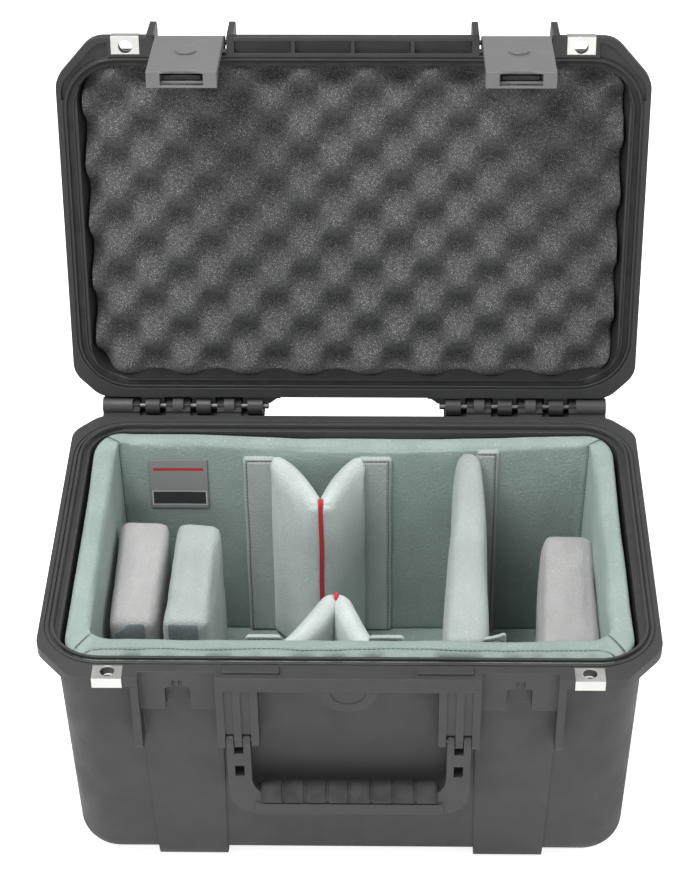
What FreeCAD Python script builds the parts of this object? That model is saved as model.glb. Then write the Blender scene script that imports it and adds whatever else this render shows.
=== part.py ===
import FreeCAD
import Part

import math
import os

# Hard equipment case with a padded, divided interior. Millimetres, +X right, +Y to the back, +Z up.
# The origin is on the floor under the middle of the rim flange. Every lid part is described in the
# closed position and then swung open about the hinge axis, which is how the case is stored.

# ---- driving dimensions ----------------------------------------------------------------------
CASE_WIDTH = 470.0          # over the rim flange, left to right
CASE_DEPTH = 311.0          # over the rim flange, front to back
PARTING_Z = 230.0           # height of the joint between base and lid
LID_HEIGHT = 50.0           # joint to the top of the closed lid
LID_OPEN_DEG = 102.6        # how far the lid is swung open at rest
LID_GAP = 0.3               # air between the two flanges when closed

WALL = 4.0                  # thickness of the moulded walls
CORNER_R = 34.0             # upright outer corners
WALL_X = 222.8              # outer wall at the joint
WALL_FRONT_Y = -138.0
WALL_BACK_Y = 143.5
DRAFT_X = 4.4               # how far each wall leans in from the joint to the far end
DRAFT_Y = 4.0
BODY_BOTTOM_Z = 7.0         # underside of the tub, above the skids
BOTTOM_FILLET = 20.0
CENTRE_FOOT = 32.0          # half width of the square foot in the middle of the underside

FLANGE_T = 9.0
FLANGE_LIP = 13.5           # how far the flange hangs below the joint over the handle
EMBLEM_R = 22.0             # round tab below that lip
EMBLEM_Y = (-154.0, -149.0)
EMBLEM_RING_R = (16.0, 13.8)
EMBLEM_RING_PROUD = 0.8
HALF_X = CASE_WIDTH / 2
HALF_Y = CASE_DEPTH / 2
FRONT_CUT = (30.0, 34.0)    # corner cuts of the flange: along X, along Y
BACK_CUT = (22.0, 22.0)
FLANGE_SOFTEN_R = 21.0      # rounding where the corner cuts start

SEAL_X = 225.0              # centre line of the sealing tongue and of the gasket
SEAL_FRONT_Y = -134.5
SEAL_BACK_Y = 142.0
SEAL_R = 39.0

HINGE_Y = 164.8
HINGE_Z = 233.3
HINGE_R = 7.2
HINGE_PIN_R = 2.5
RUNNING_GAP = 0.06          # radial clearance of every pin that turns in its bore
BASE_KNUCKLES = ((181.0, 212.0), (138.2, 158.8), (95.2, 115.6))     # X of the barrels
LID_KNUCKLES = (((160.2, 179.6), (164.0, 176.0)),                   # X of each web, X of its barrel
                ((117.0, 136.8), (121.0, 133.0)),
                ((74.0, 93.8), (77.0, 90.0)))
LID_WEB_SPREAD = 12.0       # how far the inmost lid web widens towards the lid
KNUCKLE_WEB_Y = 148.0       # where the knuckle webs start, inside the flange
KNUCKLE_NOTCH_X = 5.8       # notches in the upper front of the base barrels
KNUCKLE_NOTCH_FLOOR = 3.4   # height of the notch's floor over the pin
HINGE_GUARD_X = (76.0, 212.0)
HINGE_LEDGE = (150.0, 175.4, 221.0, 225.4)      # Y, Y, Z, Z of the ledge under the barrels
HINGE_GUARD = (173.8, 175.4, 221.0, 242.0)      # Y, Y, Z, Z of the guard behind them

BAND_TOP_X = (95.0, 158.0)  # raised bands that run down the walls and under the tub as skids
BAND_FOOT_X = (99.0, 153.0)
BAND_PROUD = 1.5
BAND_TOP_Z = 191.0

BAY_X = (99.0, 155.8)       # latch bays, between the guard ribs
BAY_MID_X = 127.4
GUARD_T = 6.0
GUARD_FRONT_Y = -155.0
GUARD_BOTTOM_Z = 150.0
CATCH_FRONT_Y = -148.5
CATCH_BOTTOM_Z = 191.0
NOTCH_HEAD = (9.4, 214.0)   # half width and top of the lower, wide part of the catch block's notch
NOTCH_STEM = (3.6, 7.4)     # half width and depth of its narrow upper part
NOTCH_SPINE = 1.0           # half width of the rib that stands in the stem

LATCH_WIDTH = 53.2
LATCH_PIVOT = (-147.0, 246.0)      # Y, Z of the latch pin with the lid closed
TRIGGER_PIVOT = (-147.8, 156.0)    # Y, Z of the trigger pin with the lid closed
LATCH_PIN_R = 2.0
TRIGGER_PIN_R = 1.5

HANDLE_PIVOT = (-150.0, 160.5)     # Y, Z of the handle pins
HANDLE_PIN_R = 2.0
ARM_MID_X = 83.5
ARM_WIDTH = 18.0
ARM_SLOT = 7.2
ARM_WINDOW_Z = (124.0, 136.0)
BRACKET_RIB_X = (67.5, 73.5)
BRACKET_PANEL_X = (73.0, 93.5)
BRACKET_BOTTOM_Z = 152.0
TONGUE_T = 6.0
HANDLE_BOTTOM_Z = 82.3
HANDLE_FRONT_Y = -156.5
HANDLE_BACK_Y = -144.5

LOCK_X = 178.5              # padlock plates
LOCK_HOLE_Y = -147.8
LOCK_HOLE_R = 5.3
LOCK_WIDTH = 22.3
LOCK_BACK_Y = -142.0

LINER_OUT_X = 212.3         # padded tub inside the case
LINER_IN_X = 199.0
LINER_FRONT_Y = (-129.4, -107.0)
LINER_BACK_Y = (122.0, 135.0)
LINER_TOP_Z = 226.0
LINER_FLOOR_Z = (11.5, 20.0)

DIVIDER_BOTTOM_Z = 20.3
VEE_TOP_Z = 213.0
TALL_TOP_Z = 220.0
SHORT_TOP_Z = 185.0
TALL_FRONT_X = (72.0, 104.0)
TALL_BACK_X = (86.0, 105.0)
TALL_BACK_FLAP_X = 122.0
TALL_FRONT_FLAP_X = 118.0
VEE_T = 10.0
RIBBON_WIDTH = 3.8
RIBBON_PROUD = 3.6
FLAP_T = 4.5
FLOOR_PAD_INSET = 13.0

VALVE_Z = 185.0             # vent valve in the back wall
VALVE_R = 10.0
VALVE_STEM_R = 6.0

V = FreeCAD.Vector
LID_BOTTOM_Z = PARTING_Z + LID_GAP
LID_TOP_Z = PARTING_Z + LID_HEIGHT


# ---- shape helpers ---------------------------------------------------------------------------
def box(x0, x1, y0, y1, z0, z1):
    """Box between two corners, given in any order along X."""
    return Part.makeBox(abs(x1 - x0), y1 - y0, z1 - z0, V(min(x0, x1), y0, z0))


def rounded_wire(x0, x1, y0, y1, r, z):
    """Closed wire of a rectangle with round corners, in the plane at height z."""
    s = r * (1 - math.sqrt(0.5))
    corners = [
        (V(x1 - r, y0, z), V(x1 - s, y0 + s, z), V(x1, y0 + r, z)),
        (V(x1, y1 - r, z), V(x1 - s, y1 - s, z), V(x1 - r, y1, z)),
        (V(x0 + r, y1, z), V(x0 + s, y1 - s, z), V(x0, y1 - r, z)),
        (V(x0, y0 + r, z), V(x0 + s, y0 + s, z), V(x0 + r, y0, z)),
    ]
    edges = []
    for i, (start, middle, end) in enumerate(corners):
        edges.append(Part.Arc(start, middle, end).toShape())
        edges.append(Part.LineSegment(end, corners[(i + 1) % 4][0]).toShape())
    return Part.Wire(edges)


def rounded_block(x0, x1, y0, y1, r, z0, z1):
    return Part.Face(rounded_wire(x0, x1, y0, y1, r, z0)).extrude(V(0, 0, z1 - z0))


def ring(x, y0, y1, r, width, z0, z1):
    """Upright ring of the given width, centred on a rounded rectangle."""
    h = width / 2
    outer = rounded_block(-x - h, x + h, y0 - h, y1 + h, r + h, z0, z1)
    return outer.cut(rounded_block(-x + h, x - h, y0 + h, y1 - h, r - h, z0, z1))


def seal_ring(offset, width, z0, z1):
    """Ring along the seal, moved outwards by offset."""
    return ring(SEAL_X + offset, SEAL_FRONT_Y - offset, SEAL_BACK_Y + offset, SEAL_R + offset, width, z0, z1)


def prism_x(points, x0, x1):
    """Solid with the outline points (Y, Z), from x0 to x1."""
    lo, hi = min(x0, x1), max(x0, x1)
    wire = Part.makePolygon([V(lo, y, z) for y, z in points + points[:1]])
    return Part.Face(wire).extrude(V(hi - lo, 0, 0))


def prism_y(points, y0, y1):
    """Solid with the outline points (X, Z), from y0 to y1."""
    wire = Part.makePolygon([V(x, y0, z) for x, z in points + points[:1]])
    return Part.Face(wire).extrude(V(0, y1 - y0, 0))


def prism_z(points, z0, z1):
    """Solid with the outline points (X, Y), from z0 to z1."""
    wire = Part.makePolygon([V(x, y, z0) for x, y in points + points[:1]])
    return Part.Face(wire).extrude(V(0, 0, z1 - z0))


def rod_x(x0, x1, y, z, r):
    return Part.makeCylinder(r, abs(x1 - x0), V(min(x0, x1), y, z), V(1, 0, 0))


def rod_z(x, y, z0, z1, r):
    return Part.makeCylinder(r, z1 - z0, V(x, y, z0), V(0, 0, 1))


def fuse(shapes):
    """One solid from overlapping shapes, without the seams between them."""
    shape = shapes[0].multiFuse(shapes[1:]) if len(shapes) > 1 else shapes[0]
    return shape.removeSplitter()


def level_edges(shape, z):
    """The edges that lie wholly at height z."""
    return [e for e in shape.Edges if abs(e.BoundBox.ZMin - z) < 0.01 and abs(e.BoundBox.ZMax - z) < 0.01]


def upright_edges(shape):
    """The straight edges that run along Z."""
    return [e for e in shape.Edges if e.BoundBox.XLength < 0.01 and e.BoundBox.YLength < 0.01]


def edges_along_x(shape, near, reach):
    """The edges along X within reach of the point near (Y, Z)."""
    found = []
    for e in shape.Edges:
        b = e.BoundBox
        if b.YLength < 0.01 and b.ZLength < 0.01 and math.hypot(b.YMin - near[0], b.ZMin - near[1]) < reach:
            found.append(e)
    return found


def flange_block(z0, z1, inset=0.0):
    """The rim's outline: a rectangle with cut corners, softened where the cuts start."""
    x, front, back = HALF_X - inset, -HALF_Y + inset, HALF_Y - inset
    (fx, fy), (bx, by) = FRONT_CUT, BACK_CUT
    points = [(x - fx, front), (x, front + fy), (x, back - by), (x - bx, back),
              (bx - x, back), (-x, back - by), (-x, front + fy), (fx - x, front)]
    block = prism_z(points, z0, z1)
    return block.makeFillet(FLANGE_SOFTEN_R, upright_edges(block))


def tub(grow, z_far, z_near, far_fillet, lean_x, lean_y):
    """Drafted, round-cornered block between two heights; z_far is its closed, narrower end."""
    x, front, back, r = WALL_X + grow, WALL_FRONT_Y - grow, WALL_BACK_Y + grow, CORNER_R + grow
    near = rounded_wire(-x, x, front, back, r, z_near)
    far = rounded_wire(lean_x - x, x - lean_x, front + lean_y, back - lean_y, r, z_far)
    block = Part.makeLoft([far, near], True, True)
    return block.makeFillet(far_fillet, level_edges(block, z_far))


def both_sides(make):
    """The pieces that make(side) gives for the left (-1) and the right (+1)."""
    return [make(-1), make(1)]


def swing_open(shape):
    """Moves a lid part from its closed position to the open one."""
    opened = shape.copy()
    opened.rotate(V(0, HINGE_Y, HINGE_Z), V(1, 0, 0), -LID_OPEN_DEG)
    return opened


# ---- base shell ------------------------------------------------------------------------------
def band_and_skid(side):
    """Raised band down the front and back walls that turns under the tub as a skid."""
    grown = tub(BAND_PROUD, 0.0, PARTING_Z, BOTTOM_FILLET, DRAFT_X, DRAFT_Y)
    (t0, t1), (f0, f1) = BAND_TOP_X, BAND_FOOT_X
    outline = [(side * f0, -1.0), (side * f1, -1.0), (side * t1, BAND_TOP_Z), (side * t0, BAND_TOP_Z)]
    return grown.common(prism_y(outline, -200.0, 200.0))


def guard_rib(x0, x1, bottom):
    """Upright rib on the front wall with a round lower end."""
    rib = box(x0, x1, GUARD_FRONT_Y, WALL_FRONT_Y + 3.0, bottom, PARTING_Z - FLANGE_T / 2)
    return rib.makeFillet(9.0, edges_along_x(rib, (GUARD_FRONT_Y, bottom), 0.1))


def catch_block(side):
    """Block in the latch bay whose lower edge the latch claw hooks under."""
    front, back = CATCH_FRONT_Y, WALL_FRONT_Y + 3.0
    block = box(side * BAY_X[0], side * BAY_X[1], front, back, CATCH_BOTTOM_Z, PARTING_Z)
    x = side * BAY_MID_X
    half, top = NOTCH_HEAD
    head_back = WALL_FRONT_Y - BAND_PROUD - 0.2
    head = box(x - half, x + half, front - 1.0, head_back, CATCH_BOTTOM_Z - 1.0, top)
    upper = [e for e in head.Edges if e.BoundBox.YLength > 1 and e.BoundBox.ZMin > top - 1]
    head = head.makeFillet(3.0, upper)
    half, depth = NOTCH_STEM
    stem = box(x - half, x + half, front - 1.0, front + depth, top - 1.0, PARTING_Z + 1.0)
    spine = box(x - NOTCH_SPINE, x + NOTCH_SPINE, front + 0.8, front + depth + 0.5, top, PARTING_Z)
    return block.cut(head).cut(stem).fuse(spine)


def handle_bracket(side):
    """Inner rib, pivot tongue and the panels between them, which carry one handle arm."""
    inner = guard_rib(side * BRACKET_RIB_X[0], side * BRACKET_RIB_X[1], BRACKET_BOTTOM_Z)
    wall_y, top = WALL_FRONT_Y + 3.0, PARTING_Z - 5.0
    tongue_x = side * (ARM_MID_X - TONGUE_T / 2), side * (ARM_MID_X + TONGUE_T / 2)
    tongue = box(*tongue_x, GUARD_FRONT_Y, wall_y, BRACKET_BOTTOM_Z, top)
    tongue = tongue.makeFillet(7.0, edges_along_x(tongue, (GUARD_FRONT_Y, BRACKET_BOTTOM_Z), 0.1))
    panel_x = side * BRACKET_PANEL_X[0], side * BRACKET_PANEL_X[1]
    panel = box(*panel_x, GUARD_FRONT_Y + 1.6, wall_y, HANDLE_PIVOT[1] + 8.4, top)
    return [inner, tongue, panel]


def knuckle_notch(x0, x1):
    """Step cut out of the upper front of a base barrel, above and in front of the pin."""
    front = HINGE_Y - HINGE_R - 1.0
    above = box(x0, x1, front, HINGE_Y + HINGE_R, HINGE_Z + KNUCKLE_NOTCH_FLOOR, HINGE_Z + HINGE_R + 1.0)
    ahead = box(x0, x1, front, HINGE_Y - KNUCKLE_NOTCH_FLOOR, HINGE_Z, HINGE_Z + HINGE_R + 1.0)
    return above.fuse(ahead)


def base_hinge_knuckles(side):
    """The base's three knuckles of one hinge on their webs, with a ledge below and a guard behind."""
    knuckles = []
    for i, (x0, x1) in enumerate(BASE_KNUCKLES):
        web = box(side * x0, side * x1, KNUCKLE_WEB_Y, HINGE_Y, PARTING_Z - FLANGE_T, PARTING_Z - 0.5)
        knuckle = fuse([rod_x(side * x0, side * x1, HINGE_Y, HINGE_Z, HINGE_R), web])
        knuckle = knuckle.cut(knuckle_notch(side * x0, side * (x0 + KNUCKLE_NOTCH_X)))
        if i > 0:
            knuckle = knuckle.cut(knuckle_notch(side * (x1 - KNUCKLE_NOTCH_X), side * x1))
        knuckles.append(knuckle)
    guard_x = side * HINGE_GUARD_X[0], side * HINGE_GUARD_X[1]
    return knuckles + [box(*guard_x, *HINGE_LEDGE), box(*guard_x, *HINGE_GUARD)]


def lock_plate_blocks(z0, z1):
    """Outer block of a padlock plate and the plastic core inside it, at X = 0."""
    half = LOCK_WIDTH / 2
    outer = box(-half, half, -HALF_Y - 0.8, LOCK_BACK_Y, z0, z1)
    core = box(-half, half, -HALF_Y + 0.5, LOCK_BACK_Y, z0 + 1.4, z1 - 1.2)
    return outer, core


def lock_seat(side, z0, z1):
    """Space in the flange for a padlock plate and its core."""
    seat = lock_plate_blocks(z0, z1)[0]
    seat.translate(V(side * LOCK_X, 0, 0))
    return seat


def lock_plate_and_core(side, z0, z1):
    """Steel padlock plate, bent round its plastic core, with the shackle hole through both."""
    outer, core = lock_plate_blocks(z0, z1)
    hole = rod_z(0.0, LOCK_HOLE_Y, z0 - 5.0, z1 + 5.0, LOCK_HOLE_R)
    pieces = [outer.cut(core).cut(hole), core.cut(hole)]
    for piece in pieces:
        piece.translate(V(side * LOCK_X, 0, 0))
    return pieces


def emblem():
    """Round tab hanging from the flange over the handle, with a plain raised ring."""
    centre, depth = V(0, EMBLEM_Y[0], PARTING_Z - FLANGE_LIP), V(0, 1, 0)
    tab = Part.makeCylinder(EMBLEM_R, EMBLEM_Y[1] - EMBLEM_Y[0], centre, depth)
    centre.y -= EMBLEM_RING_PROUD
    ring_out, ring_in = [Part.makeCylinder(r, EMBLEM_RING_PROUD, centre, depth) for r in EMBLEM_RING_R]
    below_lip = box(-30.0, 30.0, -160.0, WALL_FRONT_Y, PARTING_Z - 50.0, centre.z + 1.5)
    return fuse([tab, ring_out.cut(ring_in)]).common(below_lip)


def base_shell():
    outer = tub(0.0, BODY_BOTTOM_Z, PARTING_Z - 1.0, BOTTOM_FILLET, DRAFT_X, DRAFT_Y)
    inner = tub(-WALL, BODY_BOTTOM_Z + WALL, PARTING_Z + 1.0, BOTTOM_FILLET - WALL, DRAFT_X, DRAFT_Y)
    flange = flange_block(PARTING_Z - FLANGE_T, PARTING_Z)
    thick_front = box(-93.0, 93.0, -HALF_Y, WALL_FRONT_Y + 3.0, PARTING_Z - FLANGE_LIP, PARTING_Z - FLANGE_T)
    bay_cuts = both_sides(lambda s: box(s * BAY_X[0], s * BAY_X[1], -160.0, CATCH_FRONT_Y, 200.0, 240.0))
    foot = CENTRE_FOOT
    centre_foot = rounded_block(-foot, foot, -foot, foot, 8.0, 0.0, BODY_BOTTOM_Z + 1.0)
    shell = fuse([outer, flange, thick_front, centre_foot] + both_sides(band_and_skid))
    shell = shell.cut(Part.makeCompound(bay_cuts))
    adds = [emblem()]
    for side in (-1, 1):
        adds.append(catch_block(side))
        adds.append(guard_rib(side * (BAY_X[0] - GUARD_T), side * BAY_X[0], GUARD_BOTTOM_Z))
        adds.append(guard_rib(side * BAY_X[1], side * (BAY_X[1] + GUARD_T), GUARD_BOTTOM_Z))
        adds += handle_bracket(side)
        adds += base_hinge_knuckles(side)
    shell = fuse([shell] + adds).cut(inner)

    # rim: sealing tongue, with a groove each side of it, and a drip line further out
    shell = shell.cut(seal_ring(-2.6, 2.4, PARTING_Z - 3.0, PARTING_Z + 1.0))
    shell = shell.cut(seal_ring(2.0, 1.6, PARTING_Z - 1.6, PARTING_Z + 1.0))
    shell = shell.cut(seal_ring(5.6, 1.2, PARTING_Z - 1.2, PARTING_Z + 1.0))
    inner_step = rounded_block(1.5 - WALL_X, WALL_X - 1.5, WALL_FRONT_Y + 1.5, WALL_BACK_Y - 1.5,
                               CORNER_R - 1.5, PARTING_Z - 4.0, PARTING_Z + 1.0)
    shell = shell.cut(inner_step)
    pads = both_sides(lambda s: box(s * 51.0, s * 92.4, -151.6, -143.8, PARTING_Z - 1.0, PARTING_Z + 3.0))
    shell = fuse([shell, seal_ring(0.0, 1.8, PARTING_Z - 1.0, PARTING_Z + 1.9)] + pads)

    for side in (-1, 1):
        shell = shell.cut(lock_seat(side, PARTING_Z - FLANGE_T - 0.2, PARTING_Z))
        shell = shell.cut(rod_x(side * 67.0, side * 99.5, HANDLE_PIVOT[0], HANDLE_PIVOT[1], HANDLE_PIN_R))
        shell = shell.cut(rod_x(side * 66.0, side * 211.0, HINGE_Y, HINGE_Z, HINGE_PIN_R))
    return shell.cut(vent_hole()).removeSplitter()


def vent_hole():
    """Hole through the back wall for the vent valve's stem."""
    return Part.makeCylinder(VALVE_STEM_R, 20.0, V(0, WALL_BACK_Y - 12.0, VALVE_Z), V(0, 1, 0))


def vent_valve():
    """Round cap outside the back wall with a stem through it."""
    wall_y = WALL_BACK_Y - DRAFT_Y * (PARTING_Z - VALVE_Z) / (PARTING_Z - BODY_BOTTOM_Z)
    cap = Part.makeCylinder(VALVE_R, 3.5, V(0, wall_y + 0.2, VALVE_Z), V(0, 1, 0))
    cap = cap.makeFillet(1.2, [e for e in cap.Edges if e.BoundBox.YMin > wall_y + 3.0])
    slot = box(-1.2, 1.2, wall_y + 2.4, wall_y + 5.0, VALVE_Z - 6.0, VALVE_Z + 6.0)
    stem = Part.makeCylinder(VALVE_STEM_R, WALL, V(0, wall_y + 0.2 - WALL, VALVE_Z), V(0, 1, 0))
    return fuse([cap.cut(slot), stem])


def hinge_pin(side):
    pin = rod_x(side * 72.0, side * 211.0, HINGE_Y, HINGE_Z, HINGE_PIN_R)
    return pin.makeChamfer(0.5, [e for e in pin.Edges if e.BoundBox.XLength < 0.01])


# ---- handle ----------------------------------------------------------------------------------
def handle_arm(side):
    """One arm: two prongs at the pivot and a square window below them."""
    y, z = HANDLE_PIVOT
    inner_x, outer_x = ARM_MID_X - ARM_WIDTH / 2, ARM_MID_X + ARM_WIDTH / 2
    eye = rod_x(side * inner_x, side * outer_x, y, z, 6.2)
    bar = box(side * inner_x, side * outer_x, y - 5.0, y + 5.0, GRIP_MID_Z + 10.0, z)
    arm = fuse([eye, bar])
    slot = ARM_SLOT / 2
    for z0, z1 in ((z - 12.0, z + 10.0), ARM_WINDOW_Z):
        arm = arm.cut(box(side * (ARM_MID_X - slot), side * (ARM_MID_X + slot), y - 9.0, y + 9.0, z0, z1))
    return arm.cut(rod_x(side * (inner_x - 1), side * (outer_x + 1), y, z, HANDLE_PIN_R + RUNNING_GAP))


def handle_frame():
    """Two arms and the bar between them, with cut corners and a flat lower lip."""
    low, top = HANDLE_BOTTOM_Z, HANDLE_BOTTOM_Z + 37.7
    right_half = [(72.5, low), (80.0, low + 2.0), (86.5, low + 6.8), (90.5, low + 13.5), (92.5, low + 21.0),
                  (92.5, top), (74.5, top), (73.0, top - 7.0), (69.5, top - 12.5), (64.0, top - 16.0)]
    bar_outline = right_half + [(-x, z) for x, z in reversed(right_half)]
    bar = prism_y(bar_outline, HANDLE_PIVOT[0] - 5.0, HANDLE_PIVOT[0] + 5.0)
    lip = box(-72.5, 72.5, HANDLE_FRONT_Y, HANDLE_BACK_Y, HANDLE_BOTTOM_Z, HANDLE_BOTTOM_Z + 12.0)
    lip = lip.makeFillet(2.0, edges_along_x(lip, (HANDLE_FRONT_Y, HANDLE_BOTTOM_Z), 0.1))
    return fuse([bar, lip] + both_sides(handle_arm))


GRIP_SEGMENTS = 8
GRIP_HALF_X = 68.0
GRIP_MID_Z = 102.0
GRIP_R = 8.9


def handle_grip(frame):
    """Soft grip moulded round the bar, in bulging segments."""
    pitch = 2 * GRIP_HALF_X / GRIP_SEGMENTS
    core = rod_x(-GRIP_HALF_X, GRIP_HALF_X, HANDLE_PIVOT[0], GRIP_MID_Z, GRIP_R - 1.2)
    pieces = [core]
    for i in range(GRIP_SEGMENTS):
        x0 = -GRIP_HALF_X + i * pitch
        segment = rod_x(x0 + 0.9, x0 + pitch - 0.9, HANDLE_PIVOT[0], GRIP_MID_Z, GRIP_R)
        pieces.append(segment.makeFillet(1.4, [e for e in segment.Edges if e.BoundBox.XLength < 0.01]))
    above_lip = box(-80.0, 80.0, -170.0, -130.0, HANDLE_BOTTOM_Z + 11.0, 120.0)
    return fuse(pieces).common(above_lip).cut(frame)


def handle_pin(side):
    return rod_x(side * 67.8, side * 98.5, HANDLE_PIVOT[0], HANDLE_PIVOT[1], HANDLE_PIN_R)


# ---- padded interior -------------------------------------------------------------------------
def liner_tub():
    """The tub's four padded walls as one ring."""
    outer = rounded_block(-LINER_OUT_X, LINER_OUT_X, LINER_FRONT_Y[0], LINER_BACK_Y[1], 30.0,
                          LINER_FLOOR_Z[1], LINER_TOP_Z)
    foot = level_edges(outer, LINER_FLOOR_Z[1])
    outer = outer.makeFillet(10.0, foot)
    return outer.cut(box(-LINER_IN_X, LINER_IN_X, LINER_FRONT_Y[1], LINER_BACK_Y[0],
                         LINER_FLOOR_Z[1] - 1.0, LINER_TOP_Z + 1.0))


def liner_pieces():
    """The floor pad and the four wall pads, parted at the corners."""
    ring_walls = liner_tub()
    split_x = LINER_IN_X
    pieces = {
        "liner_left_wall": ring_walls.common(box(-230.0, -split_x, -150.0, 150.0, 0.0, 240.0)),
        "liner_right_wall": ring_walls.common(box(split_x, 230.0, -150.0, 150.0, 0.0, 240.0)),
        "liner_front_wall": ring_walls.common(box(-split_x, split_x, -150.0, 0.0, 0.0, 240.0)),
        "liner_back_wall": ring_walls.common(box(-split_x, split_x, 0.0, 150.0, 0.0, 240.0)),
    }
    x, inset = LINER_OUT_X - FLOOR_PAD_INSET, FLOOR_PAD_INSET
    floor = rounded_block(-x, x, LINER_FRONT_Y[0] + inset, LINER_BACK_Y[1] - inset, 18.0, *LINER_FLOOR_Z)
    pieces["liner_floor"] = floor.makeFillet(4.0, level_edges(floor, LINER_FLOOR_Z[0]))
    return pieces


def upright_panel(start, end, thickness, z0, z1):
    """Flat upright panel between two plan points."""
    length = math.hypot(end[0] - start[0], end[1] - start[1])
    panel = box(0.0, length, -thickness / 2, thickness / 2, z0, z1)
    panel.rotate(V(0, 0, 0), V(0, 0, 1), math.degrees(math.atan2(end[1] - start[1], end[0] - start[0])))
    panel.translate(V(start[0], start[1], 0))
    return panel


VEE_FOLD_GAP = 0.8          # the two panels of a vee are parted by this much at the fold
REAR_VEE = {"apex": (-23.0, 62.0), "feet": (-70.0, 8.0), "flaps": (-92.5, 33.0)}
FRONT_VEE = {"apex": (-11.0, -35.0), "feet": (-57.0, 20.0), "flaps": (-79.0, 42.0)}


def vee_panel(vee, index, wall_y, inward):
    """One panel of a vee divider with its hook flap; inward is +1 where the wall is the front one."""
    apex, foot_x, flap_x = vee["apex"], vee["feet"][index], vee["flaps"][index]
    side = -1 if index == 0 else 1
    reach = VEE_T + 4.0
    foot = (foot_x + (foot_x - apex[0]) * 0.15, wall_y - (apex[1] - wall_y) * 0.15)
    tip = (apex[0] - (foot_x - apex[0]) * 0.15, apex[1] + (apex[1] - wall_y) * 0.15)
    panel = upright_panel(foot, tip, VEE_T, DIVIDER_BOTTOM_Z, VEE_TOP_Z)
    fold_x = apex[0] + side * VEE_FOLD_GAP / 2
    near, far = sorted((wall_y, apex[1] + inward * reach))
    panel = panel.common(box(fold_x, fold_x + side * 150.0, near, far, 0.0, 240.0))
    lo, hi = sorted((wall_y, wall_y + inward * FLAP_T))
    flap = box(foot_x, flap_x, lo, hi, DIVIDER_BOTTOM_Z, VEE_TOP_Z)
    return fuse([panel, flap])


def vee_ribbon(vee, inward, panels):
    """Ribbon down the nose of a vee, shaped to its two panels."""
    x, y = vee["apex"]
    lo, hi = sorted((y + inward * VEE_T, y + inward * (VEE_T + RIBBON_PROUD)))
    ribbon = box(x - RIBBON_WIDTH / 2, x + RIBBON_WIDTH / 2, lo, hi, DIVIDER_BOTTOM_Z + 20.0, VEE_TOP_Z + 1.0)
    for panel in panels:
        ribbon = ribbon.cut(panel)
    return max(ribbon.Solids, key=lambda solid: solid.Volume)


def tall_divider():
    """Full-depth divider, thicker at the front, with a hook flap at each end."""
    front_y, back_y = LINER_FRONT_Y[1] + 0.3, LINER_BACK_Y[0] - 0.3
    (left, right), (back_left, back_right) = TALL_FRONT_X, TALL_BACK_X
    plan = [(left, front_y), (right, front_y), (back_right, back_y), (back_left, back_y)]
    body = prism_z(plan, DIVIDER_BOTTOM_Z, TALL_TOP_Z)
    flap_z = DIVIDER_BOTTOM_Z, TALL_TOP_Z - 2.0
    back_flap = box(back_right - 3.0, TALL_BACK_FLAP_X, back_y - FLAP_T, back_y, *flap_z)
    front_flap = box(right - 2.0, TALL_FRONT_FLAP_X, front_y, front_y + FLAP_T, *flap_z)
    return fuse([body, back_flap, front_flap])


# plan corners of the short dividers: back left, back right, front right, front left
SHORT_DIVIDERS = {
    "short_divider_left": [(-192.0, 74.0), (-153.0, 70.0), (-157.0, -45.0), (-191.0, -42.0)],
    "short_divider_middle": [(-141.0, 72.0), (-110.0, 66.0), (-117.0, -48.0), (-144.0, -48.0)],
    "short_divider_right": [(157.0, 58.0), (195.0, 55.0), (191.0, -68.0), (146.0, -67.0)],
}


def short_divider(corners):
    block = prism_z(corners, DIVIDER_BOTTOM_Z, SHORT_TOP_Z)
    return block.makeFillet(5.0, level_edges(block, SHORT_TOP_Z))


TAPE_T = 1.2                # hook tape
TAPE_INSET = 3.0
TAPE_Z = (DIVIDER_BOTTOM_Z + 2.0, SHORT_TOP_Z - 6.0)


def hook_tapes():
    """Hook tape on both ends of each short divider."""
    tapes = []
    for corners in SHORT_DIVIDERS.values():
        back_left, back_right, front_right, front_left = corners
        back_y = max(back_left[1], back_right[1]) + 0.1
        front_y = min(front_left[1], front_right[1]) - 0.1 - TAPE_T
        ends = (back_left[0], back_right[0], back_y), (front_left[0], front_right[0], front_y)
        for x0, x1, y0 in ends:
            tapes.append(box(x0 + TAPE_INSET, x1 - TAPE_INSET, y0, y0 + TAPE_T, *TAPE_Z))
    return Part.makeCompound(tapes)


LABEL_X = (-174.0, -121.5)
LABEL_Z = (155.0, 210.0)


def liner_label():
    """Blank woven patch on the back wall of the liner."""
    y = LINER_BACK_Y[0]
    patch = box(*LABEL_X, y - 1.0, y - 0.1, *LABEL_Z)
    return patch.makeFillet(1.5, [e for e in patch.Edges if e.BoundBox.YLength > 0.5])


# ---- lid (closed position) -------------------------------------------------------------------
LID_RIBS = ((93.5, 98.5), (156.3, 161.3))
LID_RIB_FRONT_Y = -158.5
LID_BAY_FRONT_Y = -141.0
POCKET_X = (-93.0, -48.3, -45.3, -1.5, 1.5, 45.3, 48.3, 93.0)


def lid_latch_rib(x0, x1):
    """Rib beside a latch that carries its pin."""
    front, back = LID_RIB_FRONT_Y, WALL_FRONT_Y + 3.0
    points = [(back, LID_BOTTOM_Z), (front, LID_BOTTOM_Z), (front - 0.8, 262.0), (front + 2.0, 267.0),
              (front + 7.5, 270.0), (back, 271.0)]
    return prism_x(points, x0, x1)


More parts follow.
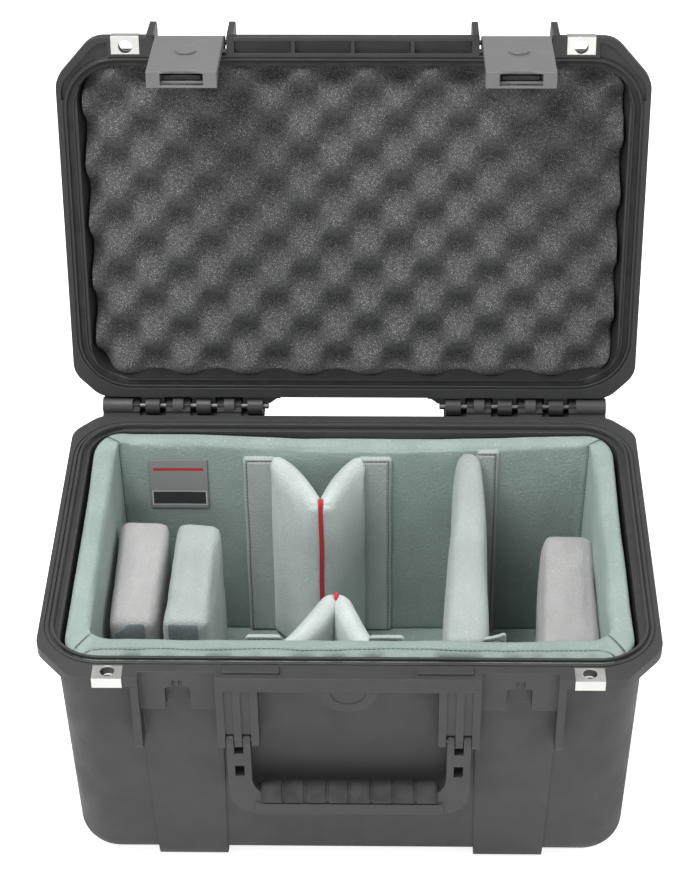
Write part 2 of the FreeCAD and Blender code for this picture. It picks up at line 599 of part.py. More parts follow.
def lid_hinge_knuckles(side):
    """The lid's three knuckles of one hinge: narrow barrels on wider webs."""
    pieces = []
    y_web, top = HINGE_Y - HINGE_R - 1.0, PARTING_Z + FLANGE_T
    for i, ((w0, w1), (b0, b1)) in enumerate(LID_KNUCKLES):
        wide = w0 - LID_WEB_SPREAD if i == len(LID_KNUCKLES) - 1 else w0
        pieces.append(box(side * wide, side * w1, KNUCKLE_WEB_Y, y_web, LID_BOTTOM_Z + 0.2, top))
        start = y_web - 1.0
        neck = [(side * w1, HINGE_Y), (side * w0, HINGE_Y), (side * wide, start), (side * w1, start)]
        pieces.append(prism_z(neck, HINGE_Z, top))
        pieces.append(rod_x(side * b0, side * b1, HINGE_Y, HINGE_Z, HINGE_R))
    return pieces


def lid_corner_pocket(side):
    """Curved recess in the mating face at a front corner, outside the seal."""
    inside_edge = flange_block(LID_BOTTOM_Z - 1.0, LID_BOTTOM_Z + 4.0, 4.0)
    x, front, back = SEAL_X + 5.0, SEAL_FRONT_Y - 5.0, SEAL_BACK_Y + 5.0
    heights = LID_BOTTOM_Z - 2.0, LID_BOTTOM_Z + 5.0
    seal_side = rounded_block(-x, x, front, back, SEAL_R + 5.0, *heights)
    corner = box(side * 193.0, side * 240.0, -160.0, -104.0, *heights)
    return inside_edge.cut(seal_side).common(corner)


def lid_shell():
    outer = tub(0.0, LID_TOP_Z, LID_BOTTOM_Z + 1.0, 12.0, DRAFT_X, DRAFT_Y)
    inner = tub(-WALL, LID_TOP_Z - WALL, LID_BOTTOM_Z - 1.0, 8.0, DRAFT_X, DRAFT_Y)
    flange = flange_block(LID_BOTTOM_Z, PARTING_Z + FLANGE_T)
    bay_cuts = both_sides(lambda s: box(s * BAY_X[0], s * BAY_X[1], -160.0, LID_BAY_FRONT_Y, 225.0, 245.0))
    stacking_bars = both_sides(lambda s: box(s * BAND_FOOT_X[0], s * BAND_FOOT_X[1], -105.0, 110.0,
                                             LID_TOP_Z - 1.0, LID_TOP_Z + 2.5))
    stacking_bars = [bar.makeFillet(2.0, level_edges(bar, LID_TOP_Z + 2.5)) for bar in stacking_bars]
    shell = fuse([outer, flange] + stacking_bars).cut(Part.makeCompound(bay_cuts))
    adds = []
    for side in (-1, 1):
        adds += [lid_latch_rib(side * x0, side * x1) for x0, x1 in LID_RIBS]
        adds += lid_hinge_knuckles(side)
    shell = fuse([shell] + adds).cut(inner)

    shell = shell.cut(seal_ring(0.0, 4.8, LID_BOTTOM_Z - 1.0, PARTING_Z + 5.2))
    shell = shell.cut(seal_ring(4.6, 1.4, LID_BOTTOM_Z - 1.0, LID_BOTTOM_Z + 1.4))
    shell = shell.cut(seal_ring(-4.0, 1.2, LID_BOTTOM_Z - 1.0, LID_BOTTOM_Z + 1.2))
    pockets = [box(POCKET_X[i], POCKET_X[i + 1], -152.6, -142.9, LID_BOTTOM_Z - 1.0, PARTING_Z + 6.0)
               for i in range(0, len(POCKET_X), 2)]
    shell = shell.cut(Part.makeCompound(pockets + both_sides(lid_corner_pocket)))

    for side in (-1, 1):
        shell = shell.cut(lock_seat(side, LID_BOTTOM_Z, PARTING_Z + FLANGE_T + 0.2))
        shell = shell.cut(rod_x(side * 93.0, side * 160.8, LATCH_PIVOT[0], LATCH_PIVOT[1], LATCH_PIN_R))
        shell = shell.cut(rod_x(side * 59.0, side * 213.0, HINGE_Y, HINGE_Z, HINGE_PIN_R + RUNNING_GAP))
    return shell.removeSplitter()


def lid_gasket():
    """Sealing cord that fills the top of the lid's groove."""
    return seal_ring(0.0, 4.8, PARTING_Z + 2.3, PARTING_Z + 5.2)


def lid_foam():
    """Foam pad that fills the lid."""
    return tub(-WALL - 1.2, LID_TOP_Z - WALL - 0.5, 237.0, 9.0, DRAFT_X, DRAFT_Y)


# ---- latches (closed position) ---------------------------------------------------------------
PLATE_TOP = (-158.0, 227.0)        # Y, Z of the latch plate's outer edges
PLATE_TIP = (-153.5, 147.8)
PLATE_BACK = (-154.6, 224.0)       # where the plate's inner face meets the arm
PLATE_T = 3.0
TIP_BACK_Y = -142.8         # inner side of the box end
TIP_TOP_Z = 157.0
TIP_LIP = (-140.9, 2.6)     # Y reach and thickness of the lip below the box end
SIDE_WALL_BACK = ((-149.4, 224.0), (-149.4, 165.0))     # inner edge of the side walls
SIDE_WALL_T = 3.0
WINDOW_HALF_X = 16.3
WINDOW_Y = (-151.9, -142.5)
THUMB_ARC_Z = 191.5         # raised half ring below the middle of the plate
THUMB_ARC_R = (6.6, 8.0)
THUMB_ARC_FRONT_Y = -157.3


def thumb_arc(x):
    """Raised lower half of a ring on the latch plate."""
    depth = V(0, 1, 0)
    centre = V(x, THUMB_ARC_FRONT_Y, THUMB_ARC_Z)
    arc = Part.makeCylinder(THUMB_ARC_R[1], 1.4, centre, depth)
    arc = arc.cut(Part.makeCylinder(THUMB_ARC_R[0], 1.4, centre, depth))
    reach, front = THUMB_ARC_R[1] + 1.0, THUMB_ARC_FRONT_Y
    return arc.common(box(x - reach, x + reach, front, front + 1.4, THUMB_ARC_Z - reach, THUMB_ARC_Z))


def latch(side):
    """Latch: a hinged arm, an outer plate with side walls, and a box end with a finger window."""
    mid = side * BAY_MID_X
    x0, x1 = mid - LATCH_WIDTH / 2, mid + LATCH_WIDTH / 2
    y, z = LATCH_PIVOT
    tip_y, tip_z = PLATE_TIP
    barrel = rod_x(x0, x1, y, z, 5.0)
    arm = prism_x([PLATE_TOP, (y - 3.9, z + 3.1), (y + 3.4, z - 3.6), PLATE_BACK], x0, x1)
    plate = prism_x([PLATE_TOP, PLATE_BACK, (tip_y + PLATE_T, tip_z), PLATE_TIP], x0, x1)
    side_outline = [PLATE_TOP, *SIDE_WALL_BACK, (TIP_BACK_Y, TIP_TOP_Z), (TIP_BACK_Y, tip_z), PLATE_TIP]
    walls = [prism_x(side_outline, x0, x0 + SIDE_WALL_T), prism_x(side_outline, x1 - SIDE_WALL_T, x1)]
    end = box(x0, x1, tip_y, TIP_LIP[0], tip_z, tip_z + TIP_LIP[1])
    back = box(x0, x1, TIP_BACK_Y - 2.0, TIP_BACK_Y, tip_z, TIP_TOP_Z)
    body = fuse([barrel, arm, plate, end, back] + walls)
    window_x = mid - WINDOW_HALF_X, mid + WINDOW_HALF_X
    window = box(*window_x, *WINDOW_Y, tip_z - 1.0, tip_z + 4.4)
    scoop = Part.makeCylinder(30.0, 20.0, V(mid, -160.0, tip_z - 26.0), V(0, 1, 0))
    scoop = scoop.common(box(*window_x, -160.0, tip_y + 3.2, 140.0, 160.0))
    body = fuse([body.cut(window).cut(scoop), thumb_arc(mid)])
    body = body.cut(rod_x(x0 - 1, x1 + 1, y, z, LATCH_PIN_R + RUNNING_GAP))
    return body.cut(rod_x(x0 - 1, x1 + 1, TRIGGER_PIVOT[0], TRIGGER_PIVOT[1], TRIGGER_PIN_R))


def latch_pin(side):
    return rod_x(side * 93.8, side * 160.5, LATCH_PIVOT[0], LATCH_PIVOT[1], LATCH_PIN_R)


CLAW_OUTLINE = [(-150.5, 157.0), (-152.2, 190.2), (-149.3, 190.2), (-145.6, 157.0)]      # Y, Z
TAB_OUTLINE = [(-149.8, 156.0), (-145.4, 156.0), (-145.8, 152.8), (-149.2, 152.8)]
CLAW_HALF_X = 15.0
TAB_HALF_X = 14.0


def trigger(side):
    """Claw lever inside the latch: a hub, a claw that swings under the catch, and a finger tab."""
    mid = side * BAY_MID_X
    y, z = TRIGGER_PIVOT
    hub = rod_x(mid - CLAW_HALF_X, mid + CLAW_HALF_X, y, z, 2.7)
    lever = prism_x(CLAW_OUTLINE, mid - CLAW_HALF_X, mid + CLAW_HALF_X)
    tab = prism_x(TAB_OUTLINE, mid - TAB_HALF_X, mid + TAB_HALF_X)
    body = fuse([hub, lever, tab])
    return body.cut(rod_x(mid - 16.0, mid + 16.0, y, z, TRIGGER_PIN_R + RUNNING_GAP))


def trigger_pin(side):
    mid = side * BAY_MID_X
    reach = LATCH_WIDTH / 2 - 0.4
    return rod_x(mid - reach, mid + reach, TRIGGER_PIVOT[0], TRIGGER_PIVOT[1], TRIGGER_PIN_R)


# ---- assembly --------------------------------------------------------------------------------
def build():
    """Every node's name and shape, in the stored position."""
    nodes = {"base_shell": base_shell(), "vent_valve": vent_valve()}
    frame = handle_frame()
    nodes["handle_frame"] = frame
    nodes["handle_grip"] = handle_grip(frame)
    nodes.update(liner_pieces())
    nodes["liner_label"] = liner_label()
    back_y, front_y = LINER_BACK_Y[0] - 0.3, LINER_FRONT_Y[1] + 0.3
    for index, side_name in enumerate(("left", "right")):
        nodes[f"rear_vee_{side_name}_panel"] = vee_panel(REAR_VEE, index, back_y, -1)
        nodes[f"front_vee_{side_name}_panel"] = vee_panel(FRONT_VEE, index, front_y, 1)
    for end, vee, inward in (("rear", REAR_VEE, -1), ("front", FRONT_VEE, 1)):
        panels = [nodes[f"{end}_vee_left_panel"], nodes[f"{end}_vee_right_panel"]]
        nodes[f"{end}_vee_ribbon"] = vee_ribbon(vee, inward, panels)
    nodes["tall_divider"] = tall_divider()
    for name, corners in SHORT_DIVIDERS.items():
        nodes[name] = short_divider(corners)
    nodes["divider_hook_tapes"] = hook_tapes()

    nodes["lid_shell"] = swing_open(lid_shell())
    nodes["lid_gasket"] = swing_open(lid_gasket())
    nodes["lid_foam"] = swing_open(lid_foam())
    for side, name in ((-1, "left"), (1, "right")):
        plate, core = lock_plate_and_core(side, PARTING_Z - FLANGE_T - 0.2, PARTING_Z)
        nodes[f"lock_plate_base_{name}"], nodes[f"lock_core_base_{name}"] = plate, core
        nodes[f"hinge_pin_{name}"] = hinge_pin(side)
        nodes[f"handle_pin_{name}"] = handle_pin(side)
        plate, core = lock_plate_and_core(side, LID_BOTTOM_Z, PARTING_Z + FLANGE_T + 0.2)
        nodes[f"lock_plate_lid_{name}"], nodes[f"lock_core_lid_{name}"] = swing_open(plate), swing_open(core)
        nodes[f"latch_pin_{name}"] = swing_open(latch_pin(side))
        nodes[f"latch_{name}"] = swing_open(latch(side))
        nodes[f"trigger_{name}"] = swing_open(trigger(side))
        nodes[f"trigger_pin_{name}"] = swing_open(trigger_pin(side))
    return nodes


os.makedirs("parts", exist_ok=True)
for node, shape in build().items():
    if not shape.isValid() or not shape.Solids:
        print("not a valid solid:", node)
    shape.exportStep(os.path.join("parts", node + ".step"))
    print(node, len(shape.Solids), round(shape.Volume))
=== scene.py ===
import math

import bmesh
import bpy
import numpy as np
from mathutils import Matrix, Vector, noise
from mathutils.bvhtree import BVHTree


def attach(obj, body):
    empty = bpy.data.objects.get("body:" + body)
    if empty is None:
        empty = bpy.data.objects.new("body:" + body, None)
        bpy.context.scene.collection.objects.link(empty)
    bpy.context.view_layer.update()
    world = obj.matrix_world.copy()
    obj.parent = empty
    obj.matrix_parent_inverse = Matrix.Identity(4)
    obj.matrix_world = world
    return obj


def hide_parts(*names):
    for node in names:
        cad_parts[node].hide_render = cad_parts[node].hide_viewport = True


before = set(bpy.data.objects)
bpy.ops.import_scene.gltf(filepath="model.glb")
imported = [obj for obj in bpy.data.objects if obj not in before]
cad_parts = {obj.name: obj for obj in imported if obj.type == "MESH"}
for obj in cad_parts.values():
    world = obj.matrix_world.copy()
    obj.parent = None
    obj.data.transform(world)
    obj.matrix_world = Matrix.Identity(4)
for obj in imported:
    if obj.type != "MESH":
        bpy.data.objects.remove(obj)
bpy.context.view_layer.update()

# Hard equipment case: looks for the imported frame. Lengths below are in millimetres unless a name
# says otherwise, +X right, +Y to the back, +Z up, and MM turns them into metres.
MM = 0.001

# ---- where things are --------------------------------------------------------------------------
HINGE_Y, HINGE_Z = 164.8, 233.3          # axis that the lid turns about
LID_OPEN = math.radians(102.6)           # how far the lid is swung open at rest

WALL_TOP_Z = 226.5                       # top of the padded walls
FLOOR_TOP_Z = 20.5
SIDE_OUT_X, SIDE_IN_X = 215.3, 199.0
FRONT_OUT_Y, FRONT_IN_Y = -131.5, -105.5
BACK_OUT_Y, BACK_IN_Y = 138.0, 126.5
BACK_LEAN, FRONT_LEAN, SIDE_LEAN = 9.0, 1.5, 4.0     # how far each inner face comes in at the floor
OUT_CORNER_R, IN_CORNER_R = 26.0, 13.0

VEE_TOP_Z, TALL_TOP_Z, SHORT_TOP_Z = 213.0, 222.5, 185.0
FRONT_FLAP_TOP_Z = 224.0
PAD_FOOT_Z = 21.0

FOAM_X, FOAM_FRONT_Y, FOAM_BACK_Y = 215.5, -133.0, 138.5
FOAM_CORNER_R = 28.0
FOAM_PEAK_Z, FOAM_VALLEY_Z, FOAM_REAR_Z = 233.8, 256.5, 274.0
FOAM_PITCH = 25.4                        # from a peak to the next hollow along X or Y
FOAM_STEP = 2.6                          # spacing of the foam's points
FOAM_PHASE_X, FOAM_PHASE_Y = 90.0, 49.0

SEAM_REACH = 10.0                        # seam attribute well away from any seam; it is 0 on one
STITCH_PITCH = 3.6                       # from one stitch of a seam to the next


# ---- small helpers -----------------------------------------------------------------------------
def screen(r, g, b):
    """Linear colour from an 8-bit screen colour."""
    channels = []
    for c in (r / 255, g / 255, b / 255):
        channels.append(c / 12.92 if c <= 0.04045 else ((c + 0.055) / 1.055) ** 2.4)
    return (*channels, 1.0)


def smooth(t):
    t = min(max(t, 0.0), 1.0)
    return t * t * (3 - 2 * t)


def lerp(a, b, t):
    return a + (b - a) * t


def wander(x, y, z, size, seed=0.0):
    """Smooth noise between about -1 and 1, with features of the given size."""
    return noise.noise(Vector((x / size + seed, y / size - seed, z / size + 2 * seed)))


def make(name, points, faces, body, material):
    """Mesh object from points in millimetres, smooth shaded and riding on a body."""
    mesh = bpy.data.meshes.new(name)
    mesh.from_pydata([(x * MM, y * MM, z * MM) for x, y, z in points], [], faces)
    mesh.validate()
    work = bmesh.new()
    work.from_mesh(mesh)
    bmesh.ops.recalc_face_normals(work, faces=work.faces)
    work.to_mesh(mesh)
    work.free()
    mesh.polygons.foreach_set("use_smooth", [True] * len(mesh.polygons))
    mesh.materials.append(material)
    obj = bpy.data.objects.new(name, mesh)
    bpy.context.collection.objects.link(obj)
    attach(obj, body)
    return obj


def coordinates(obj):
    """The object's points as an array, in millimetres."""
    flat = np.empty(len(obj.data.vertices) * 3)
    obj.data.vertices.foreach_get("co", flat)
    return flat.reshape(-1, 3) / MM


def place(obj, points):
    obj.data.vertices.foreach_set("co", (np.asarray(points) * MM).ravel())
    obj.data.update()


def mark(obj, name, values):
    """Stores one number for each point, for the material to read."""
    layer = obj.data.attributes.get(name) or obj.data.attributes.new(name, "FLOAT", "POINT")
    layer.data.foreach_set("value", [float(v) for v in values])


def refine(obj, levels=1):
    """Subdivides and applies."""
    modifier = obj.modifiers.new("refine", "SUBSURF")
    modifier.levels = modifier.render_levels = levels
    settle(obj)


def settle(obj):
    """Applies the object's modifiers to its mesh."""
    evaluated = obj.evaluated_get(bpy.context.evaluated_depsgraph_get())
    mesh = bpy.data.meshes.new_from_object(evaluated)
    old = obj.data
    obj.modifiers.clear()
    obj.data = mesh
    mesh.name = obj.name
    bpy.data.meshes.remove(old)


# ---- materials ---------------------------------------------------------------------------------
class Finish:
    """A procedural material being put together."""

    def __init__(self, name, roughness):
        self.material = bpy.data.materials.new(name)
        self.material.use_nodes = True
        self.tree = self.material.node_tree
        self.shader = self.tree.nodes["Principled BSDF"]
        self.shader.inputs["Roughness"].default_value = roughness
        self.coords = self.tree.nodes.new("ShaderNodeTexCoord").outputs["Object"]

    def node(self, kind, inputs, output=0, **settings):
        made = self.tree.nodes.new(kind)
        for key, value in settings.items():
            setattr(made, key, value)
        for key, value in inputs.items():
            self.feed(made.inputs[key], value)
        return made.outputs[output]

    def feed(self, socket, value):
        if isinstance(value, bpy.types.NodeSocket):
            self.tree.links.new(value, socket)
        else:
            socket.default_value = value

    def stretched(self, x, y, z):
        """Object coordinates scaled apart along the three directions."""
        return self.node("ShaderNodeMapping", {"Vector": self.coords, "Scale": (x, y, z)})

    def noise(self, size, detail=2.0, vector=None):
        """Cloudy noise with features of that size."""
        return self.node("ShaderNodeTexNoise", {
            "Vector": vector or self.coords, "Scale": 1 / (size * MM), "Detail": detail})

    def cells(self, size, vector=None):
        """Distance to the middle of scattered cells of that size."""
        return self.node("ShaderNodeTexVoronoi", {
            "Vector": vector or self.coords, "Scale": 1 / (size * MM)})

    def ribs(self, size, direction, warp=0.0):
        """Even ribs of that width across one direction."""
        return self.node("ShaderNodeTexWave", {
            "Vector": self.coords, "Scale": 0.314 / (size * MM), "Distortion": warp,
            "Detail": 1.0}, 1, bands_direction=direction)

    def span(self, value, low, high, out_low=0.0, out_high=1.0):
        return self.node("ShaderNodeMapRange", {
            "Value": value, "From Min": low, "From Max": high, "To Min": out_low,
            "To Max": out_high}, interpolation_type="SMOOTHSTEP")

    def sum(self, kind, a, b):
        return self.node("ShaderNodeMath", {0: a, 1: b}, operation=kind)

    def blend(self, share, a, b):
        """Colour a where share is 0 and b where it is 1."""
        return self.node("ShaderNodeMix", {"Factor": share, 6: a, 7: b}, 2, data_type="RGBA")

    def raised(self, height, depth, strength=1.0, normal=None):
        """Bump of that depth in millimetres."""
        inputs = {"Height": height, "Distance": depth * MM, "Strength": strength}
        if normal is not None:
            inputs["Normal"] = normal
        return self.node("ShaderNodeBump", inputs)

    def stored(self, name):
        return self.node("ShaderNodeAttribute", {}, 2, attribute_name=name)

    def finish(self, **inputs):
        for key, value in inputs.items():
            self.feed(self.shader.inputs[key.replace("_", " ")], value)
        return self.material


def tinted(color, gain):
    return tuple(min(c * gain, 1.0) for c in color[:3]) + (1.0,)


def moulded(name, color, roughness, grain=0.5, edge_wear_and_highlight=0.35, edge=0.9):
    """Moulded plastic: fine spark-eroded grain, and soft edges painted lighter, partly as worn edges and
    partly as painted highlight.
    """
    f = Finish(name, roughness)
    patches = f.noise(70, 3)
    grit = f.noise(0.55, 3)
    scuffs = f.span(f.noise(14, 5, f.stretched(1, 3, 0.6)), 0.56, 0.72)
    soft = f.node("ShaderNodeBevel", {"Radius": edge * MM}, samples=4)
    here = f.node("ShaderNodeNewGeometry", {}, "True Normal")
    facing = f.node("ShaderNodeVectorMath", {0: soft, 1: here}, 1, operation="DOT_PRODUCT")
    # painted highlight and worn edges: where the bevelled normal turns away from the face, the edge is
    # painted lighter
    rubbed_and_highlit = f.sum("MULTIPLY", f.span(facing, 0.995, 0.86), f.span(f.noise(9, 4), 0.3, 0.75, 0.35, 1.0))
    base = f.blend(patches, tinted(color, 0.9), tinted(color, 1.1))
    base = f.blend(f.sum("MULTIPLY", scuffs, 0.12), base, tinted(color, 1.7))
    base = f.blend(f.sum("MULTIPLY", rubbed_and_highlit, edge_wear_and_highlight), base, tinted(color, 2.6))
    rough = f.span(f.noise(22, 4), 0.3, 0.7, roughness - 0.06, roughness + 0.08)
    return f.finish(Base_Color=base, Roughness=rough, Normal=f.raised(grit, 0.07, grain, soft))


def brushed_fabric(name, color):
    """Brushed loop fabric: short fuzzy loops, faint brush marks, a few pale pills, a sunken stitched
    seam where the stored seam value is 0, and painted shade where the stored shade value is above 0."""
    f = Finish(name, 0.95)
    loops = f.cells(0.95)
    fibres = f.noise(0.4, 3)
    brush = f.noise(26, 4, f.stretched(1.0, 0.7, 0.55))
    tufts = f.span(f.noise(2.1, 3), 0.3, 0.7)
    pills = f.span(f.noise(1.9, 1), 0.7, 0.77)
    base = f.blend(f.span(brush, 0.3, 0.7), tinted(color, 0.9), tinted(color, 1.08))
    base = f.blend(f.sum("MULTIPLY", tufts, 0.35), base, tinted(color, 0.72))
    base = f.blend(f.span(loops, 0.0, 0.75, 0.13, 0.0), base, tinted(color, 0.55))
    base = f.blend(f.sum("MULTIPLY", fibres, 0.3), base, tinted(color, 1.45))
    base = f.blend(f.sum("MULTIPLY", pills, 0.45), base, (0.8, 0.84, 0.82, 1))
    height = f.sum("ADD", loops, f.sum("ADD", f.sum("MULTIPLY", fibres, 0.8), f.sum("MULTIPLY", tufts, -1.2)))
    away = f.node("ShaderNodeMath", {0: f.stored("seam")}, operation="ABSOLUTE")
    step = f.stored("run")
    dash = f.span(f.node("ShaderNodeMath", {0: f.sum("MULTIPLY", step, 2 * math.pi / STITCH_PITCH)},
                         operation="SINE"), -0.9, -0.2, 0.45, 1.0)
    line = f.sum("MULTIPLY", f.span(away, 0.3, 0.85, 1.0, 0.0), dash)
    # painted shade: darker where the stored shade value is high, in the front wall's gathers and towards the
    # floor
    base = f.blend(f.sum("MULTIPLY", f.stored("shade"), f.span(brush, 0.2, 0.8, 0.75, 1.0)),
                   base, tinted(color, 0.22))
    base = f.blend(f.sum("MULTIPLY", line, 0.8), base, tinted(color, 0.12))
    height = f.sum("SUBTRACT", height, f.sum("MULTIPLY", f.span(away, 0.0, 2.2, 1.0, 0.0), 5.0))
    return f.finish(Base_Color=base, Normal=f.raised(height, 0.28, 0.75), Sheen_Weight=0.35,
                    Sheen_Roughness=0.5, Sheen_Tint=tinted(color, 1.6), Specular_IOR_Level=0.15)


def open_cell_foam(name, color):
    """Open-cell foam: dark pores with pale flecks of cut cell walls."""
    f = Finish(name, 1.0)
    pores = f.cells(0.8)
    flecks = f.span(f.noise(0.75, 0), 0.62, 0.74)
    mottle = f.noise(2.4, 3)
    base = f.blend(f.span(mottle, 0.3, 0.7), tinted(color, 0.72), tinted(color, 1.25))
    base = f.blend(f.sum("MULTIPLY", flecks, 0.8), base, tinted(color, 4.5))
    base = f.blend(f.span(pores, 0.0, 0.35, 0.45, 0.0), base, tinted(color, 0.35))
    return f.finish(Base_Color=base, Normal=f.raised(pores, 0.35, 0.8), Specular_IOR_Level=0.1,
                    Sheen_Weight=0.15)


def woven(name, color, rib, direction, cross):
    """Ribbed woven tape."""
    f = Finish(name, 0.7)
    picks = f.ribs(rib, direction)
    ends = f.ribs(rib * 1.4, cross)
    height = f.sum("ADD", picks, f.sum("MULTIPLY", ends, 0.5))
    base = f.blend(picks, tinted(color, 0.7), tinted(color, 1.12))
    base = f.blend(f.sum("MULTIPLY", f.noise(5, 3), 0.25), base, tinted(color, 0.6))
    return f.finish(Base_Color=base, Normal=f.raised(height, 0.12), Sheen_Weight=0.25)


def hooked(name, color):
    """Hook tape: rows of tiny hooks on a woven ground."""
    f = Finish(name, 0.75)
    hooks = f.cells(1.1)
    ground = f.ribs(1.6, "X")
    base = f.blend(f.span(hooks, 0.1, 0.6), tinted(color, 1.5), tinted(color, 0.7))
    base = f.blend(f.sum("MULTIPLY", ground, 0.25), base, tinted(color, 0.6))
    base = f.blend(f.sum("MULTIPLY", f.noise(16, 3), 0.3), base, tinted(color, 1.35))
    return f.finish(Base_Color=base, Normal=f.raised(hooks, -0.4, 0.8), Sheen_Weight=0.2)


def metal(name, color, roughness, along):
    """Rolled steel with fine lines along one direction."""
    f = Finish(name, roughness)
    lines = f.noise(0.5, 4, f.stretched(*along))
    cloud = f.noise(18, 3)
    soft = f.node("ShaderNodeBevel", {"Radius": 0.5 * MM}, samples=4)
    base = f.blend(lines, tinted(color, 0.88), tinted(color, 1.05))
    rough = f.span(cloud, 0.3, 0.7, roughness - 0.06, roughness + 0.1)
    return f.finish(Base_Color=base, Metallic=1.0, Roughness=rough, Normal=f.raised(lines, 0.02, 0.4, soft))


def rubber(name, color, roughness=0.75):
    """Soft rubber with a dusty, finely pitted skin."""
    f = Finish(name, roughness)
    dust = f.noise(11, 5)
    pits = f.cells(0.7)
    soft = f.node("ShaderNodeBevel", {"Radius": 0.8 * MM}, samples=4)
    base = f.blend(f.span(dust, 0.35, 0.7), tinted(color, 0.85), tinted(color, 1.35))
    return f.finish(Base_Color=base, Normal=f.raised(pits, 0.1, 0.5, soft), Specular_IOR_Level=0.35)


# Edge lightening on the moulded finishes is partly worn edges and partly painted highlight.
SHELL = moulded("moulded_shell", screen(60, 60, 60), 0.5, edge_wear_and_highlight=0.6, edge=1.4)
# painted shade: the lid is the shell's plastic, painted darker for the shade on its open inner face
SHADED_LID_PLASTIC = moulded("moulded_lid_shaded", screen(45, 45, 46), 0.42, edge_wear_and_highlight=0.6)
LATCH = moulded("moulded_latch", screen(111, 111, 112), 0.45, 0.4)
DARK = moulded("moulded_dark", screen(26, 26, 27), 0.5)
HANDLE = moulded("moulded_handle", screen(60, 60, 60), 0.46, edge_wear_and_highlight=0.9, edge=1.5)
VALVE = moulded("moulded_valve", screen(58, 58, 58), 0.45)
GRIP = rubber("grip_rubber", screen(58, 58, 58))
GASKET = rubber("gasket_rubber", screen(44, 44, 44))
PIN = metal("pin_steel", (0.16, 0.16, 0.16, 1), 0.4, (0.1, 1, 1))
LOCK_PLATE = metal("lock_plate_steel", (0.8, 0.8, 0.77, 1), 0.36, (1, 0.1, 1))
LINER = brushed_fabric("liner_fabric", screen(154, 169, 164))
COOL = brushed_fabric("divider_fabric_cool", screen(170, 179, 176))
# painted light: the vee legs use the dividers' cool fabric painted lighter, for the light on their upright
# faces
LIT_LEG_FABRIC = brushed_fabric("divider_fabric_leg_lit", screen(198, 207, 204))
WARM = brushed_fabric("divider_fabric_warm", screen(176, 175, 175))
RIBBON = woven("ribbon_red", screen(205, 28, 46), 0.5, "Z", "X")
HOOK = hooked("hook_tape", screen(112, 122, 127))
FOAM = open_cell_foam("foam_charcoal", screen(81, 81, 82))


LABEL_X, LABEL_Z = (-174.0, -121.5), (155.0, 210.0)
LABEL_BAND_Z = (196.5, 199.5)            # thin red band
LABEL_BAR_Z = (161.5, 174.5)             # dark bar, in a pale border 1 mm wide


def patch_finish():
    """Woven patch: pale ground, one thin red band and one dark bar, with a stitched edge."""
    f = Finish("label_weave", 0.75)
    ground = screen(146, 150, 149)
    parts = f.tree.nodes.new("ShaderNodeSeparateXYZ")
    f.tree.links.new(f.coords, parts.inputs[0])
    across, up = parts.outputs[0], parts.outputs[2]

    def band(value, low, high, edge=0.25):
        rise = f.span(value, (low - edge) * MM, (low + edge) * MM)
        fall = f.span(value, (high - edge) * MM, (high + edge) * MM, 1.0, 0.0)
        return f.sum("MULTIPLY", rise, fall)

    def frame_of(x0, x1, z0, z1):
        return f.sum("MULTIPLY", band(across, x0, x1), band(up, z0, z1))

    threads = f.ribs(0.6, "X")
    base = f.blend(threads, tinted(ground, 0.86), tinted(ground, 1.1))
    base = f.blend(frame_of(LABEL_X[0] + 5, LABEL_X[1] - 5, *LABEL_BAND_Z), base, screen(196, 44, 48))
    base = f.blend(frame_of(LABEL_X[0] + 3, LABEL_X[1] - 3, LABEL_BAR_Z[0] - 1, LABEL_BAR_Z[1] + 1),
                   base, screen(200, 203, 202))
    base = f.blend(frame_of(LABEL_X[0] + 4, LABEL_X[1] - 4, *LABEL_BAR_Z), base, screen(42, 44, 46))
    inside = frame_of(LABEL_X[0] + 1.7, LABEL_X[1] - 1.7, LABEL_Z[0] + 1.7, LABEL_Z[1] - 1.7)
    outside = frame_of(LABEL_X[0] + 1.0, LABEL_X[1] - 1.0, LABEL_Z[0] + 1.0, LABEL_Z[1] - 1.0)
    stitch = f.sum("SUBTRACT", outside, inside)
    base = f.blend(f.sum("MULTIPLY", stitch, 0.7), base, screen(74, 80, 80))
    height = f.sum("SUBTRACT", threads, f.sum("MULTIPLY", stitch, 3.0))
    return f.finish(Base_Color=base, Normal=f.raised(height, 0.1), Sheen_Weight=0.15)


LABEL = patch_finish()

# ---- CAD nodes that keep their shape -----------------------------------------------------------
NODE_FINISH = {
    "base_shell": SHELL, "lid_shell": SHADED_LID_PLASTIC, "lock_core_base": SHELL, "lock_core_lid": SHADED_LID_PLASTIC,
    "vent_valve": VALVE, "handle_frame": HANDLE, "handle_grip": GRIP, "latch": LATCH,
    "trigger": DARK, "trigger_pin": PIN, "latch_pin": PIN, "hinge_pin": PIN, "handle_pin": PIN,
    "lock_plate": LOCK_PLATE, "lid_gasket": GASKET,
}
for node_name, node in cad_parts.items():
    fitting = [key for key in NODE_FINISH if node_name.startswith(key)]
    if fitting:
        node.data.materials.clear()
        node.data.materials.append(NODE_FINISH[max(fitting, key=len)])


# ---- soft pieces -------------------------------------------------------------------------------
def edge_steps(length, spacing, radius, power):
    """Distances along one side of a pad, closer together where its edge turns."""
    turns = [radius * (1 - math.cos(math.radians(a)) ** (2 / power)) for a in (0, 8, 22, 40, 58, 74, 90)]
    middle = length - 2 * radius
    count = max(2, round(middle / spacing))
    inner = [radius + middle * i / count for i in range(1, count)]
    return turns + inner + [length - t for t in reversed(turns)]


def edge_height(distance, radius, power):
    t = 1 - min(distance / radius, 1.0)
    return max(0.0, 1 - t ** power) ** (1 / power)


